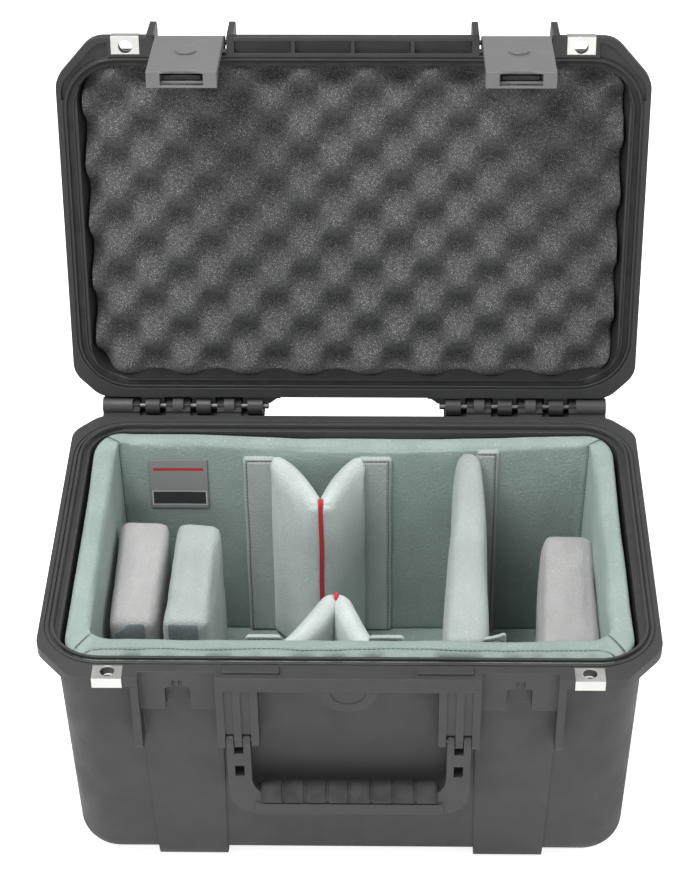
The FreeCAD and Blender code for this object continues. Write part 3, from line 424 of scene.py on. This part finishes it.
def pillow(name, width, height, radius, power, where, body, material, spacing=5.0, corner=0.0):
    """Closed pad over a width by height rectangle. where(u, v, w, side) gives the point at u along,
    v up and w (0 at the edge, 1 inside) out from the middle, on side +1 or -1."""
    us = edge_steps(width, spacing, radius, power)
    vs = edge_steps(height, spacing, radius, power)
    index, points, sheet_uv = {}, [], []
    for side in (1, -1):
        for i, u in enumerate(us):
            for j, v in enumerate(vs):
                rim = i in (0, len(us) - 1) or j in (0, len(vs) - 1)
                if rim and side == -1:
                    index[side, i, j] = index[1, i, j]
                    continue
                du, dv = min(u, width - u), min(v, height - v)
                full = edge_height(du, radius, power) * edge_height(dv, radius, power)
                cu, cv = round_corner(u, v, width, height, corner)
                index[side, i, j] = len(points)
                points.append(where(cu, cv, full, side))
                sheet_uv.append((cu, cv, side))
    faces = []
    for side in (1, -1):
        for i in range(len(us) - 1):
            for j in range(len(vs) - 1):
                quad = [index[side, i, j], index[side, i + 1, j],
                        index[side, i + 1, j + 1], index[side, i, j + 1]]
                faces.append(quad if side == 1 else quad[::-1])
    obj = make(name, points, faces, body, material)
    return obj, sheet_uv


def round_corner(u, v, width, height, r):
    """Pulls the corner of a rectangle in to a round corner of radius r, at its top edge only."""
    if r <= 0 or v < height - r:
        return u, v
    for low, sign in ((0.0, 1.0), (width, -1.0)):
        a = 1 - abs(u - low) / r
        b = (v - (height - r)) / r
        if a > 0 and b > 0:
            pull = max(a, b) / math.hypot(a, b)
            return low + sign * r * (1 - a * pull), height - r + r * b * pull
    return u, v


def back_wall_y(z):
    return lerp(BACK_IN_Y - BACK_LEAN, BACK_IN_Y, (z - FLOOR_TOP_Z) / (WALL_TOP_Z - FLOOR_TOP_Z))


def front_wall_y(z):
    return lerp(FRONT_IN_Y + FRONT_LEAN, FRONT_IN_Y, (z - FLOOR_TOP_Z) / (WALL_TOP_Z - FLOOR_TOP_Z))


SOFT = {}                   # object name: (pinned points, most that a point may move)
COVER_PRESSURE = 4.0
COVER_STIFFNESS = 18        # against stretching and squashing
COVER_FRAMES = 20           # frames of cloth simulation
WALL_PUFF, LEG_PUFF, TALL_PUFF, SHORT_PUFF = 1.6, 2.6, 2.6, 1.5     # most that a cover may move


def inflate():
    """Blows the padded covers up a little with cloth simulation, and keeps the result."""
    scene = bpy.context.scene
    rest = {}
    for name, (pinned, cap) in SOFT.items():
        obj = bpy.data.objects[name]
        rest[name] = coordinates(obj)
        group = obj.vertex_groups.new(name="held")
        group.add([int(i) for i in pinned], 1.0, "REPLACE")
        modifier = obj.modifiers.new("cover", "CLOTH")
        cloth = modifier.settings
        cloth.quality = 6
        cloth.mass = 0.3
        cloth.tension_stiffness = cloth.compression_stiffness = COVER_STIFFNESS
        cloth.shear_stiffness = 8
        cloth.bending_stiffness = 1.2
        cloth.use_pressure = True
        cloth.uniform_pressure_force = COVER_PRESSURE
        cloth.vertex_group_mass = "held"
        cloth.effector_weights.gravity = 0.0
        modifier.collision_settings.use_collision = False
        modifier.point_cache.frame_start = 1
        modifier.point_cache.frame_end = COVER_FRAMES
    for step in range(1, COVER_FRAMES + 1):
        scene.frame_set(step)
    shapes = {}
    depsgraph = bpy.context.evaluated_depsgraph_get()
    for name in SOFT:
        evaluated = bpy.data.objects[name].evaluated_get(depsgraph)
        flat = np.empty(len(evaluated.data.vertices) * 3)
        evaluated.data.vertices.foreach_get("co", flat)
        shapes[name] = flat.reshape(-1, 3) / MM
    for name, (pinned, cap) in SOFT.items():
        obj = bpy.data.objects[name]
        move = shapes[name] - rest[name]
        length = np.linalg.norm(move, axis=1, keepdims=True)
        length[length == 0] = 1.0
        place(obj, rest[name] + move * np.minimum(1.0, cap / length))
        obj.modifiers.clear()
        obj.vertex_groups.clear()
    scene.frame_set(1)


# ---- padded tub --------------------------------------------------------------------------------
def ring_point(part, t, x, y0, y1, r):
    """Point at t (0 to 1) along one part of a rounded rectangle. Parts 0, 2, 4 and 6 are the front,
    the right, the back and the left; the odd parts are the corners between them."""
    corners = [(x - r, y0 + r, -90), (x - r, y1 - r, 0), (-x + r, y1 - r, 90), (-x + r, y0 + r, 180)]
    if part % 2:
        cx, cy, start = corners[part // 2]
        a = math.radians(start + 90 * t)
        return cx + r * math.cos(a), cy + r * math.sin(a)
    straight = [((-x + r, y0), (x - r, y0)), ((x, y0 + r), (x, y1 - r)),
                ((x - r, y1), (-x + r, y1)), ((-x, y1 - r), (-x, y0 + r))]
    a, b = straight[part // 2]
    return lerp(a[0], b[0], t), lerp(a[1], b[1], t)


BACK_DIP = 6.0              # how far the top of the back wall sinks in its middle
FRONT_SEAM_SHARE = 0.5      # where the long seam lies across the top of the front wall
DEPTH_SHADE = 0.28          # painted shade: the cover is painted a little darker towards the floor
ROLL_H = 8.0                # height of the rolled top edge
TOP_RIPPLE = 1.3            # how far the top of the walls wanders up and down
CORNER_RISE = 1.6           # how far the top stands up at the corners
CORNER_PULL = 1.4           # how far the cover is drawn out into the inner corners
SEAM_SINK = 1.9             # how deep the long seam lies
SEAM_WAVER = 0.05           # how far it strays, as a share of the wall's thickness
GATHER_SINK = 5.5           # how deep the gathers outside the seam dip at most


def fold_depth(x):
    """How deep the gathered cover dips along the outer edge of the front wall, 0 to 1."""
    return min(1.0, max(0.0, 2.1 * wander(x, 0, 5, 17, 9.3) + 0.05))


def padded_tub():
    """The four padded walls as one soft ring, rolled over at the top."""
    steps = {0: 66, 1: 9, 2: 40, 3: 9, 4: 66, 5: 9, 6: 40, 7: 9}
    around = [(part, i / n) for part, n in steps.items() for i in range(n)]
    face = [("in", z) for z in np.linspace(FLOOR_TOP_Z - 6, WALL_TOP_Z - ROLL_H, 27)]
    roll = [("top", math.radians(a)) for a in np.linspace(12, 168, 11)]
    outer = [("out", z) for z in np.linspace(WALL_TOP_Z - ROLL_H - 1, FLOOR_TOP_Z + 4, 12)]
    section = face + roll + outer
    front_width = FRONT_IN_Y - FRONT_OUT_Y
    points, seam, run, shade = [], [], [], []
    for part, t in around:
        inner = ring_point(part, t, SIDE_IN_X, FRONT_IN_Y, BACK_IN_Y, IN_CORNER_R)
        outside = ring_point(part, t, SIDE_OUT_X, FRONT_OUT_Y, BACK_OUT_Y, OUT_CORNER_R)
        foot = ring_point(part, t, SIDE_IN_X - SIDE_LEAN, FRONT_IN_Y + FRONT_LEAN, BACK_IN_Y - BACK_LEAN,
                          IN_CORNER_R)
        corner = math.sin(math.pi * t) if part % 2 else 0.0
        top = WALL_TOP_Z + TOP_RIPPLE * wander(inner[0], inner[1], 0, 55, 3.1) + CORNER_RISE * corner
        if inner[1] > BACK_IN_Y - 8:
            top -= BACK_DIP * math.exp(-((inner[0] - 20.0) / 95.0) ** 2)
        for kind, value in section:
            if kind == "in":
                share, z = 0.0, value
            elif kind == "out":
                share, z = 1.0, value
            else:
                share = 0.5 - 0.5 * math.copysign(abs(math.cos(value)) ** 0.62, math.cos(value))
                z = top - ROLL_H + ROLL_H * abs(math.sin(value)) ** 0.55
            deep = (WALL_TOP_Z - z) / (WALL_TOP_Z - FLOOR_TOP_Z)
            x = lerp(inner[0], foot[0], deep)
            y = lerp(inner[1], foot[1], deep)
            lean_out = 1 - 0.015 * max(deep, 0.0)
            x = lerp(x, outside[0] * lean_out, share)
            y = lerp(y, outside[1] * (1 - 0.03 * max(deep, 0.0)), share)
            swell = wander(x, y, z, 42, 7.7) * 1.1 + wander(x, y, z, 17, 1.2) * 0.45
            front = smooth((FRONT_IN_Y + 14 - y) / 10) if abs(x) < SIDE_IN_X - 4 else 0.0
            near_seam = abs(share - FRONT_SEAM_SHARE - SEAM_WAVER * wander(x, 0, 0, 60)) * front_width
            if front and kind == "top":
                z -= SEAM_SINK * max(0.0, 1 - near_seam / 3.2)
                if share > FRONT_SEAM_SHARE:
                    z -= (0.9 + GATHER_SINK * fold_depth(x)) * smooth((share - FRONT_SEAM_SHARE) / 0.3)
            if part % 2 and kind == "in":
                pull = CORNER_PULL * corner
                x += math.copysign(pull, x)
                y += math.copysign(pull, y)
            if kind != "out":
                z += swell * (0.5 if kind == "top" else 0.0)
                x += swell * 0.5 * (1 if part in (2, 6) else 0)
                y += swell * 0.5 * (1 if part in (0, 4) else 0)
            over = {"in": -0.5, "out": 0.5}.get(kind, share - FRONT_SEAM_SHARE) * front_width
            turn = (-1 if part in (3, 4, 7, 0) else 1) * SEAM_REACH
            if part % 2:
                turn = (1 if part in (1, 5) else -1) * (t - 0.5) * IN_CORNER_R * math.pi / 2
            front_share = {0: 1.0, 1: smooth(1 - t / 0.4), 7: smooth(1 - (1 - t) / 0.4)}.get(part, 0.0)
            points.append((x, y, z))
            seam.append(lerp(turn, over + 0.9 * wander(x, 0, 0, 60), front_share))
            run.append(x if part in (0, 4) else z)
            # painted shade: the outer half of the front wall's top is painted darker, most in the gathers
            painted_gather_shade = 0.0
            if front and kind == "top":
                painted_gather_shade = 0.16 + 0.75 * fold_depth(x) * smooth((share - FRONT_SEAM_SHARE) / 0.25)
            shade.append(min(1.0, painted_gather_shade + DEPTH_SHADE * smooth(deep)))
    count, across = len(around), len(section)
    faces = []
    for i in range(count):
        for j in range(across):
            a, b = i * across + j, i * across + (j + 1) % across
            c, d = ((i + 1) % count) * across + (j + 1) % across, ((i + 1) % count) * across + j
            faces.append((a, b, c, d))
    walls = make("padded_walls", points, faces, "base", LINER)
    mark(walls, "seam", seam)
    mark(walls, "run", run)
    mark(walls, "shade", shade)
    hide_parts("liner_left_wall", "liner_right_wall", "liner_front_wall", "liner_back_wall")
    held = [i * across + j for i in range(count) for j in range(across)
            if section[j][0] == "out" or section[j] == section[0]]
    held += [i * across + j for i, (part, t) in enumerate(around) if part % 2 and abs(t - 0.5) < 0.07
             for j in range(len(face))]
    SOFT[walls.name] = (held, WALL_PUFF)
    return walls


FLOOR_PAD_Z, FLOOR_PAD_HALF = 16.0, 4.2      # middle and half thickness of the padded floor


def floor_pad():
    """Padded floor, which the dividers stand on."""
    width, depth = 2 * (SIDE_IN_X - 1.0), (BACK_IN_Y - 8) - (FRONT_IN_Y + 1)

    def where(u, v, w, side):
        x, y = u - width / 2, FRONT_IN_Y + 1 + v
        lift = 0.5 * wander(x, y, 0, 50)
        return (x, y, FLOOR_PAD_Z + side * FLOOR_PAD_HALF * w + lift * w)

    pad, _ = pillow("padded_floor", width, depth, 5.0, 2.4, where, "base", LINER, 9.0)
    mark(pad, "seam", [SEAM_REACH] * len(pad.data.vertices))
    # painted shade: the whole floor pad is painted a little darker
    mark(pad, "shade", [0.25] * len(pad.data.vertices))
    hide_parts("liner_floor")
    return pad


# ---- folding dividers --------------------------------------------------------------------------
REAR_VEE = {"apex": (-26.0, 60.0), "feet": (-70.0, 9.0), "flaps": (-92.7, 32.5), "top": VEE_TOP_Z - 1.5}
FRONT_VEE = {"apex": (-11.0, -39.5), "feet": (-56.0, 20.0), "flaps": (-78.5, 42.0), "top": FRONT_FLAP_TOP_Z}
VEE_T = 17.0
VEE_EDGE_R = 8.5
FLAP_T = 5.0
FLAP_TUCK = 5.0             # how far a flap runs in under the root of its leg
STITCH_INSET = 3.0
RIBBON_T = 0.7


def vee_panel(name, vee, index, wall_y, inward, node):
    """One leg of a vee, from its fold at the wall to the nose, with the hook flap on the wall."""
    apex, foot_x, flap_x = vee["apex"], vee["feet"][index], vee["flaps"][index]
    side = -1 if index == 0 else 1
    height = VEE_TOP_Z - PAD_FOOT_Z

    def plan(share, z):
        """Middle line of the leg: bowed a little, and the nose is turned forwards."""
        along = max(share, 0.0)
        x = lerp(foot_x, apex[0] + side * 1.6, along ** 0.86)
        y = lerp(wall_y(z) + inward * 2.0, apex[1] - inward * 1.0, along ** 1.28)
        return x, y

    length = math.hypot(apex[0] - foot_x, apex[1] - wall_y(VEE_TOP_Z))

    def where(u, v, w, face):
        z = PAD_FOOT_Z + v
        share = u / length
        x, y = plan(share, z)
        ahead, behind = plan(share + 0.02, z), plan(share - 0.02, z)
        tx, ty = ahead[0] - behind[0], ahead[1] - behind[1]
        n = math.hypot(tx, ty)
        half = VEE_T / 2 * w * (0.8 + 0.2 * math.sin(math.pi * min(share, 1.0)))
        wave = 1 + 0.12 * wander(x, y, z, 38, index * 3.3)
        return (x - ty / n * half * face * wave, y + tx / n * half * face * wave, z)

    leg, uv = pillow(name, length, height, VEE_EDGE_R, 2.0, where, "base", LIT_LEG_FABRIC,
                     5.0, 9.0)
    mark(leg, "seam", [u for u, v, face in uv])
    mark(leg, "run", [v for u, v, face in uv])
    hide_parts(node)
    held = [i for i, (u, v, face) in enumerate(uv) if u < 0.6 or u > length - 0.6 or v < 4]
    SOFT[leg.name] = (held, LEG_PUFF)

    width, flap_height = abs(flap_x - foot_x) + FLAP_TUCK, vee["top"] - PAD_FOOT_Z

    def flap_where(u, v, w, face):
        z = PAD_FOOT_Z + v
        x = foot_x + side * (u - FLAP_TUCK)
        lift = 0.7 * max(0.0, wander(x, 0, z, 30, 5.5 + index)) * smooth(u / width)
        y = wall_y(z) + inward * (0.4 + (FLAP_T * w if face == 1 else 0.0) + lift)
        return (x + 0.6 * wander(0, 0, z, 40, 2.2), y, z)

    flap, uv = pillow(name + "_flap", width, flap_height, 2.4, 2.2, flap_where, "base", COOL,
                      4.0, 3.0)
    mark(flap, "seam", [max(u - width, v - flap_height) + STITCH_INSET for u, v, face in uv])
    mark(flap, "run", [v + u for u, v, face in uv])
    return leg, flap


def reach_of(pieces, x, z, start_y, direction):
    """Where a line along Y from start_y first meets one of the pieces, or None."""
    found = []
    for piece in pieces:
        tree = BVHTree.FromObject(piece, bpy.context.evaluated_depsgraph_get())
        hit = tree.ray_cast(Vector((x, start_y, z)) * MM, Vector((0, direction, 0)))[0]
        if hit is not None:
            found.append(hit.y / MM)
    if not found:
        return None
    return min(found) if direction > 0 else max(found)


def ribbon(name, vee, legs, inward, top_z, foot_z, half, node):
    """Narrow ribbon over the nose of a vee and down its front."""
    x, y = vee["apex"]
    start = y + inward * 60.0
    down = []
    for z in np.linspace(top_z - 5.0, foot_z, max(3, round((top_z - foot_z) / 8))):
        hits = [reach_of(legs, x + dx, z, start, -inward) for dx in (-half, 0.0, half)]
        hits = [h for h in hits if h is not None]
        nose = max(hits) if inward > 0 else min(hits)
        down.append((nose + inward * RIBBON_T, z))
    nose = down[0][0]
    line = [(nose - inward * 9.0, top_z - 2.5), (nose - inward * 6.0, top_z + 0.4),
            (nose - inward * 2.6, top_z + 0.2), (nose - inward * 0.6, top_z - 2.0)] + down
    points, faces = [], []
    for py, pz in line:
        drift = 0.7 * wander(0, 4, pz, 45, 1.9)
        for dx in (-half, -half / 3, half / 3, half):
            points.append((x + drift + dx, py, pz))
    for k in range(len(line) - 1):
        for j in range(3):
            a = k * 4 + j
            faces.append((a, a + 1, a + 5, a + 4))
    band = make(name, points, faces, "base", RIBBON)
    thick = band.modifiers.new("thickness", "SOLIDIFY")
    thick.thickness = RIBBON_T * MM
    thick.offset = 0.0
    settle(band)
    refine(band, 2)
    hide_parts(node)


# ---- loose blocks ------------------------------------------------------------------------------
def soft_block(name, corners, z0, z1, voxel, material, slot, node, cap, shape, radius):
    """Foam block in a fabric cover, over four plan corners: back left, back right, front right and
    front left."""
    work = bmesh.new()
    low = [work.verts.new((x * MM, y * MM, z0 * MM)) for x, y in corners]
    high = [work.verts.new((x * MM, y * MM, z1 * MM)) for x, y in corners]
    work.faces.new(low[::-1])
    work.faces.new(high)
    for i in range(4):
        work.faces.new((low[i], low[(i + 1) % 4], high[(i + 1) % 4], high[i]))
    bmesh.ops.recalc_face_normals(work, faces=work.faces)
    bmesh.ops.bevel(work, geom=work.edges[:], offset=radius * MM, segments=4, profile=0.5, affect="EDGES")
    mesh = bpy.data.meshes.new(name)
    work.to_mesh(mesh)
    work.free()
    block = bpy.data.objects.new(name, mesh)
    bpy.context.collection.objects.link(block)
    remesh = block.modifiers.new("even", "REMESH")
    remesh.mode = "VOXEL"
    remesh.voxel_size = voxel * MM
    relax = block.modifiers.new("relax", "SMOOTH")
    relax.factor = 0.5
    relax.iterations = 2
    settle(block)
    points = np.array([shape(*p) for p in coordinates(block)])
    place(block, points)
    block.data.polygons.foreach_set("use_smooth", [True] * len(block.data.polygons))
    block.data.materials.clear()
    block.data.materials.append(material)
    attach(block, "base")
    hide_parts(node)
    mark(block, "seam", [SEAM_REACH] * len(points))
    held = [i for i, p in enumerate(points) if p[2] < z0 + 6]
    SOFT[block.name] = (held, cap)
    return block


def sag(seed, lean=0.0, pinch=1.2):
    """Slight unevenness of a hand-cut, fabric-wrapped block."""
    def shape(x, y, z):
        up = (z - PAD_FOOT_Z) / (SHORT_TOP_Z - PAD_FOOT_Z)
        x += lean * up + pinch * wander(0, y, z, 60, seed)
        y += 0.8 * wander(x, 0, z, 50, seed + 2)
        z += 1.0 * wander(x, y, 0, 45, seed + 4) * max(up, 0.0)
        return (x, y, z)
    return shape


SHORT_BLOCKS = {
    "left": ([(-193.5, 77.0), (-153.0, 74.0), (-156.0, -48.0), (-191.0, -48.0)], WARM,
             "divider_fabric_warm", sag(1.4, 1.0)),
    "middle": ([(-144.0, 74.0), (-108.5, 71.0), (-112.5, -49.0), (-148.0, -49.0)], COOL,
               "divider_fabric_cool", sag(6.1, -0.5)),
    "right": ([(156.0, 62.0), (197.0, 58.5), (193.0, -70.0), (147.0, -70.0)], WARM,
              "divider_fabric_warm", sag(3.8, 0.5)),
}


def wall_patch(name, target, x_range, z_range, start_y, direction, lift, spacing, material):
    """Thin patch that lies on another piece, found by looking along Y from start_y."""
    tree = BVHTree.FromObject(target, bpy.context.evaluated_depsgraph_get())
    nx = max(2, round((x_range[1] - x_range[0]) / spacing))
    nz = max(2, round((z_range[1] - z_range[0]) / spacing))
    points, faces = [], []
    last = start_y
    for i in range(nx + 1):
        for j in range(nz + 1):
            x, z = lerp(*x_range, i / nx), lerp(*z_range, j / nz)
            hit = tree.ray_cast(Vector((x, start_y, z)) * MM, Vector((0, direction, 0)))[0]
            last = hit.y / MM if hit is not None else last
            points.append((x, last - direction * lift, z))
    for i in range(nx):
        for j in range(nz):
            a = i * (nz + 1) + j
            faces.append((a, a + nz + 1, a + nz + 2, a + 1))
    patch = make(name, points, faces, "base", material)
    relax = patch.modifiers.new("relax", "SMOOTH")
    relax.iterations = 6
    thick = patch.modifiers.new("thickness", "SOLIDIFY")
    thick.thickness = 1.0 * MM
    thick.offset = 0.0
    settle(patch)
    refine(patch, 1)
    return patch


# ---- lid foam ----------------------------------------------------------------------------------
def opened(x, y, z):
    """Where a point of the closed lid is when the lid is swung open."""
    dy, dz = y - HINGE_Y, z - HINGE_Z
    c, s = math.cos(-LID_OPEN), math.sin(-LID_OPEN)
    return (x, HINGE_Y + dy * c - dz * s, HINGE_Z + dy * s + dz * c)


def in_round_corners(x, y, r):
    """Moves a point of the foam's rectangle inside its round corners."""
    mid_y, half_y = (FOAM_FRONT_Y + FOAM_BACK_Y) / 2, (FOAM_BACK_Y - FOAM_FRONT_Y) / 2
    a, b = (abs(x) - (FOAM_X - r)) / r, (abs(y - mid_y) - (half_y - r)) / r
    if a <= 0 or b <= 0:
        return x, y
    pull = max(a, b) / math.hypot(a, b)
    return (math.copysign(FOAM_X - r + r * a * pull, x),
            mid_y + math.copysign(half_y - r + r * b * pull, y - mid_y))


def egg_crate():
    """Convoluted foam pad in the lid: rows of rounded peaks and hollows."""
    nx, ny = round(2 * FOAM_X / FOAM_STEP), round((FOAM_BACK_Y - FOAM_FRONT_Y) / FOAM_STEP)
    points = []
    for i in range(nx + 1):
        for j in range(ny + 1):
            x, y = in_round_corners(lerp(-FOAM_X, FOAM_X, i / nx), lerp(FOAM_FRONT_Y, FOAM_BACK_Y, j / ny),
                                    FOAM_CORNER_R)
            wave = math.cos(math.pi * (x + FOAM_PHASE_X) / FOAM_PITCH) \
                * math.cos(math.pi * (y + FOAM_PHASE_Y) / FOAM_PITCH)
            wave = math.copysign(abs(wave) ** 0.85, wave)
            z = lerp(FOAM_PEAK_Z, FOAM_VALLEY_Z, (wave + 1) / 2)
            z += 0.7 * wander(x, y, 0, 21, 4.4) + 0.12 * wander(x, y, 0, 2.7)
            edge = 1.2 * wander(x, y, 3, 12, 8.8)
            points.append((x - math.copysign(edge, x) * (i in (0, nx)), y, z))
    width = ny + 1
    faces = [(i * width + j, (i + 1) * width + j, (i + 1) * width + j + 1, i * width + j + 1)
             for i in range(nx) for j in range(ny)]
    rim = [i * width for i in range(nx + 1)] + [nx * width + j for j in range(1, width)]
    rim += [i * width + ny for i in range(nx - 1, -1, -1)] + [j for j in range(ny - 1, 0, -1)]
    previous = rim
    for level in (0.35, 0.7, 1.0):
        ring = []
        for k in rim:
            x, y, z = points[k]
            ring.append(len(points))
            points.append((x * (1 - 0.004 * level), y - (y - 2) * 0.006 * level, lerp(z, FOAM_REAR_Z, level)))
        for k in range(len(rim)):
            n = (k + 1) % len(rim)
            faces.append((previous[k], previous[n], ring[n], ring[k]))
        previous = ring
    faces.append(tuple(previous))
    foam = make("lid_convoluted_foam", [opened(*p) for p in points], faces, "lid", FOAM)
    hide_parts("lid_foam")


# ---- putting the soft pieces together ----------------------------------------------------------
walls = padded_tub()
floor = floor_pad()
rear_legs = [vee_panel("rear_vee_leg_left", REAR_VEE, 0, back_wall_y, -1, "rear_vee_left_panel"),
             vee_panel("rear_vee_leg_right", REAR_VEE, 1, back_wall_y, -1, "rear_vee_right_panel")]
front_legs = [vee_panel("front_vee_leg_left", FRONT_VEE, 0, front_wall_y, 1, "front_vee_left_panel"),
              vee_panel("front_vee_leg_right", FRONT_VEE, 1, front_wall_y, 1, "front_vee_right_panel")]


def tall_shape(x, y, z):
    along = (y - FRONT_IN_Y) / (BACK_IN_Y - FRONT_IN_Y)
    if y > 90:
        y += back_wall_y(z) - back_wall_y(TALL_TOP_Z)
    return (x + 1.2 * wander(0, y, z, 60, 2.5) + 1.5 * math.sin(math.pi * along), y,
            z + 1.2 * wander(0, y, 0, 60, 4.1) + 1.6 * math.sin(math.pi * along))


tall = soft_block("tall_pad", [(86.0, 126.0), (105.5, 126.0), (105.0, -104.0), (71.0, -104.0)],
                  PAD_FOOT_Z, TALL_TOP_Z, 5.0, COOL, "divider_fabric_cool", "tall_divider",
                  TALL_PUFF, tall_shape, 7.0)
blocks = {}
for key, (corners, material, slot_name, shape) in SHORT_BLOCKS.items():
    blocks[key] = soft_block("short_pad_" + key, corners, PAD_FOOT_Z, SHORT_TOP_Z, 4.2, material,
                             slot_name, "short_divider_" + key, SHORT_PUFF, shape, 4.6)

inflate()
for key in SOFT:
    refine(bpy.data.objects[key], 1)


def tall_flap(name, x0, x1, wall_y, inward, top_z, curl):
    """Hook flap at one end of the tall pad; curl lifts its free edge off the wall."""
    width, height = x1 - x0, top_z - PAD_FOOT_Z

    def where(u, v, w, face):
        z = PAD_FOOT_Z + v
        lift = curl * (u / width) ** 2 * smooth((v / height - 0.55) / 0.45)
        y = wall_y(z) + inward * (0.4 + lift + (4.4 * w if face == 1 else 0.0))
        return (x0 + u, y, z)

    flap, uv = pillow(name, width, height, 2.2, 2.2, where, "base", COOL, 4.0, 3.0)
    mark(flap, "seam", [max(u - width, v - height) + STITCH_INSET for u, v, face in uv])
    mark(flap, "run", [u + v for u, v, face in uv])
    return flap


flaps = [tall_flap("tall_pad_back_flap", 103.0, 122.0, back_wall_y, -1, TALL_TOP_Z - 3.5, 0.0),
         tall_flap("tall_pad_front_flap", 101.0, 119.0, front_wall_y, 1, FRONT_FLAP_TOP_Z - 1.0, 6.0)]
ribbon("rear_ribbon", REAR_VEE, [leg for leg, flap in rear_legs], -1, VEE_TOP_Z, 38.0, 1.9,
       "rear_vee_ribbon")
ribbon("front_ribbon", FRONT_VEE, [leg for leg, flap in front_legs], 1, VEE_TOP_Z, 190.0, 1.5,
       "front_vee_ribbon")

for key, share in (("left", (0.07, 0.86)), ("middle", (0.05, 0.82)), ("right", (0.2, 0.86))):
    corners = SHORT_BLOCKS[key][0]
    for end, (left, right, start, direction) in {
            "front": (corners[3][0], corners[2][0], -100.0, 1.0),
            "back": (corners[0][0], corners[1][0], 110.0, -1.0)}.items():
        reach = (lerp(left, right, share[0]), lerp(left, right, share[1]))
        wall_patch("tape_" + key + "_" + end, blocks[key], reach,
                                (PAD_FOOT_Z + 2, SHORT_TOP_Z - 3.0), start, direction, 0.6, 4.0,
                                HOOK)
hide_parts("divider_hook_tapes")
label = wall_patch("woven_patch", walls, LABEL_X, LABEL_Z, 60.0, 1.0, 0.7, 3.0, LABEL)
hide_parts("liner_label")
egg_crate()


# ---- stage, light and camera -------------------------------------------------------------------
FLOOR_GLOW = 0.8            # keeps the paper white where the case shades it; it lights nothing


def stage_floor():
    f = Finish("stage_white", 0.9)
    glow = f.sum("MULTIPLY", f.node("ShaderNodeLightPath", {}, "Is Camera Ray"), FLOOR_GLOW)
    f.finish(Base_Color=f.blend(f.noise(300, 2), (0.93, 0.93, 0.93, 1), (0.96, 0.96, 0.96, 1)),
             Specular_IOR_Level=0.1, Emission_Color=(1, 1, 1, 1), Emission_Strength=glow)
    mesh = bpy.data.meshes.new("stage_floor")
    reach = 6.0
    mesh.from_pydata([(-reach, -reach, 0), (reach, -reach, 0), (reach, reach, 0), (-reach, reach, 0)], [],
                     [(0, 1, 2, 3)])
    mesh.materials.append(f.material)
    sheet = bpy.data.objects.new("stage_floor", mesh)
    bpy.context.collection.objects.link(sheet)


def area_light(name, place_at, aim, size, power):
    light = bpy.data.lights.new(name, "AREA")
    light.shape = "RECTANGLE"
    light.size, light.size_y = size
    light.energy = power
    obj = bpy.data.objects.new(name, light)
    obj.location = place_at
    obj.rotation_euler = (Vector(aim) - Vector(place_at)).to_track_quat("-Z", "Y").to_euler()
    bpy.context.collection.objects.link(obj)


def world_light(strength):
    world = bpy.data.worlds.new("studio")
    world.use_nodes = True
    tree = world.node_tree
    background = tree.nodes["Background"]
    seen = tree.nodes.new("ShaderNodeLightPath").outputs["Is Camera Ray"]
    level = tree.nodes.new("ShaderNodeMapRange")
    level.inputs["To Min"].default_value = strength
    level.inputs["To Max"].default_value = 1.0
    tree.links.new(seen, level.inputs["Value"])
    tree.links.new(level.outputs[0], background.inputs["Strength"])
    background.inputs["Color"].default_value = (1, 1, 1, 1)
    bpy.context.scene.world = world


def camera():
    """Above and in front of the case, looking down at it."""
    yaw, pitch, roll = math.radians(-1.23), math.radians(39.41), math.radians(-0.54)
    forward = Vector((math.sin(yaw) * math.cos(pitch), math.cos(yaw) * math.cos(pitch), -math.sin(pitch)))
    right = Vector((math.cos(yaw), -math.sin(yaw), 0))
    up = right.cross(forward)
    across = right * math.cos(roll) + up * math.sin(roll)
    above = up * math.cos(roll) - right * math.sin(roll)
    data = bpy.data.cameras.new("camera")
    data.lens = 89.96
    data.sensor_width = 36.0
    obj = bpy.data.objects.new("camera", data)
    turn = obj.matrix_world.copy()
    for row in range(3):
        turn[row][0], turn[row][1], turn[row][2] = across[row], above[row], -forward[row]
    obj.matrix_world = turn
    obj.location = (0.0281, -1.3199, 1.4077)
    bpy.context.collection.objects.link(obj)
    bpy.context.scene.camera = obj


stage_floor()
area_light("key_above", (-0.65, -0.45, 2.3), (0, 0.05, 0.2), (1.3, 1.3), 49)
area_light("front_fill", (0.2, -2.3, 0.8), (0, 0, 0.25), (1.6, 0.9), 8)
area_light("right_rim", (1.8, 0.3, 1.4), (0, 0.1, 0.3), (0.8, 1.2), 13)
world_light(0.46)
camera()
bpy.context.scene.view_settings.view_transform = "Standard"
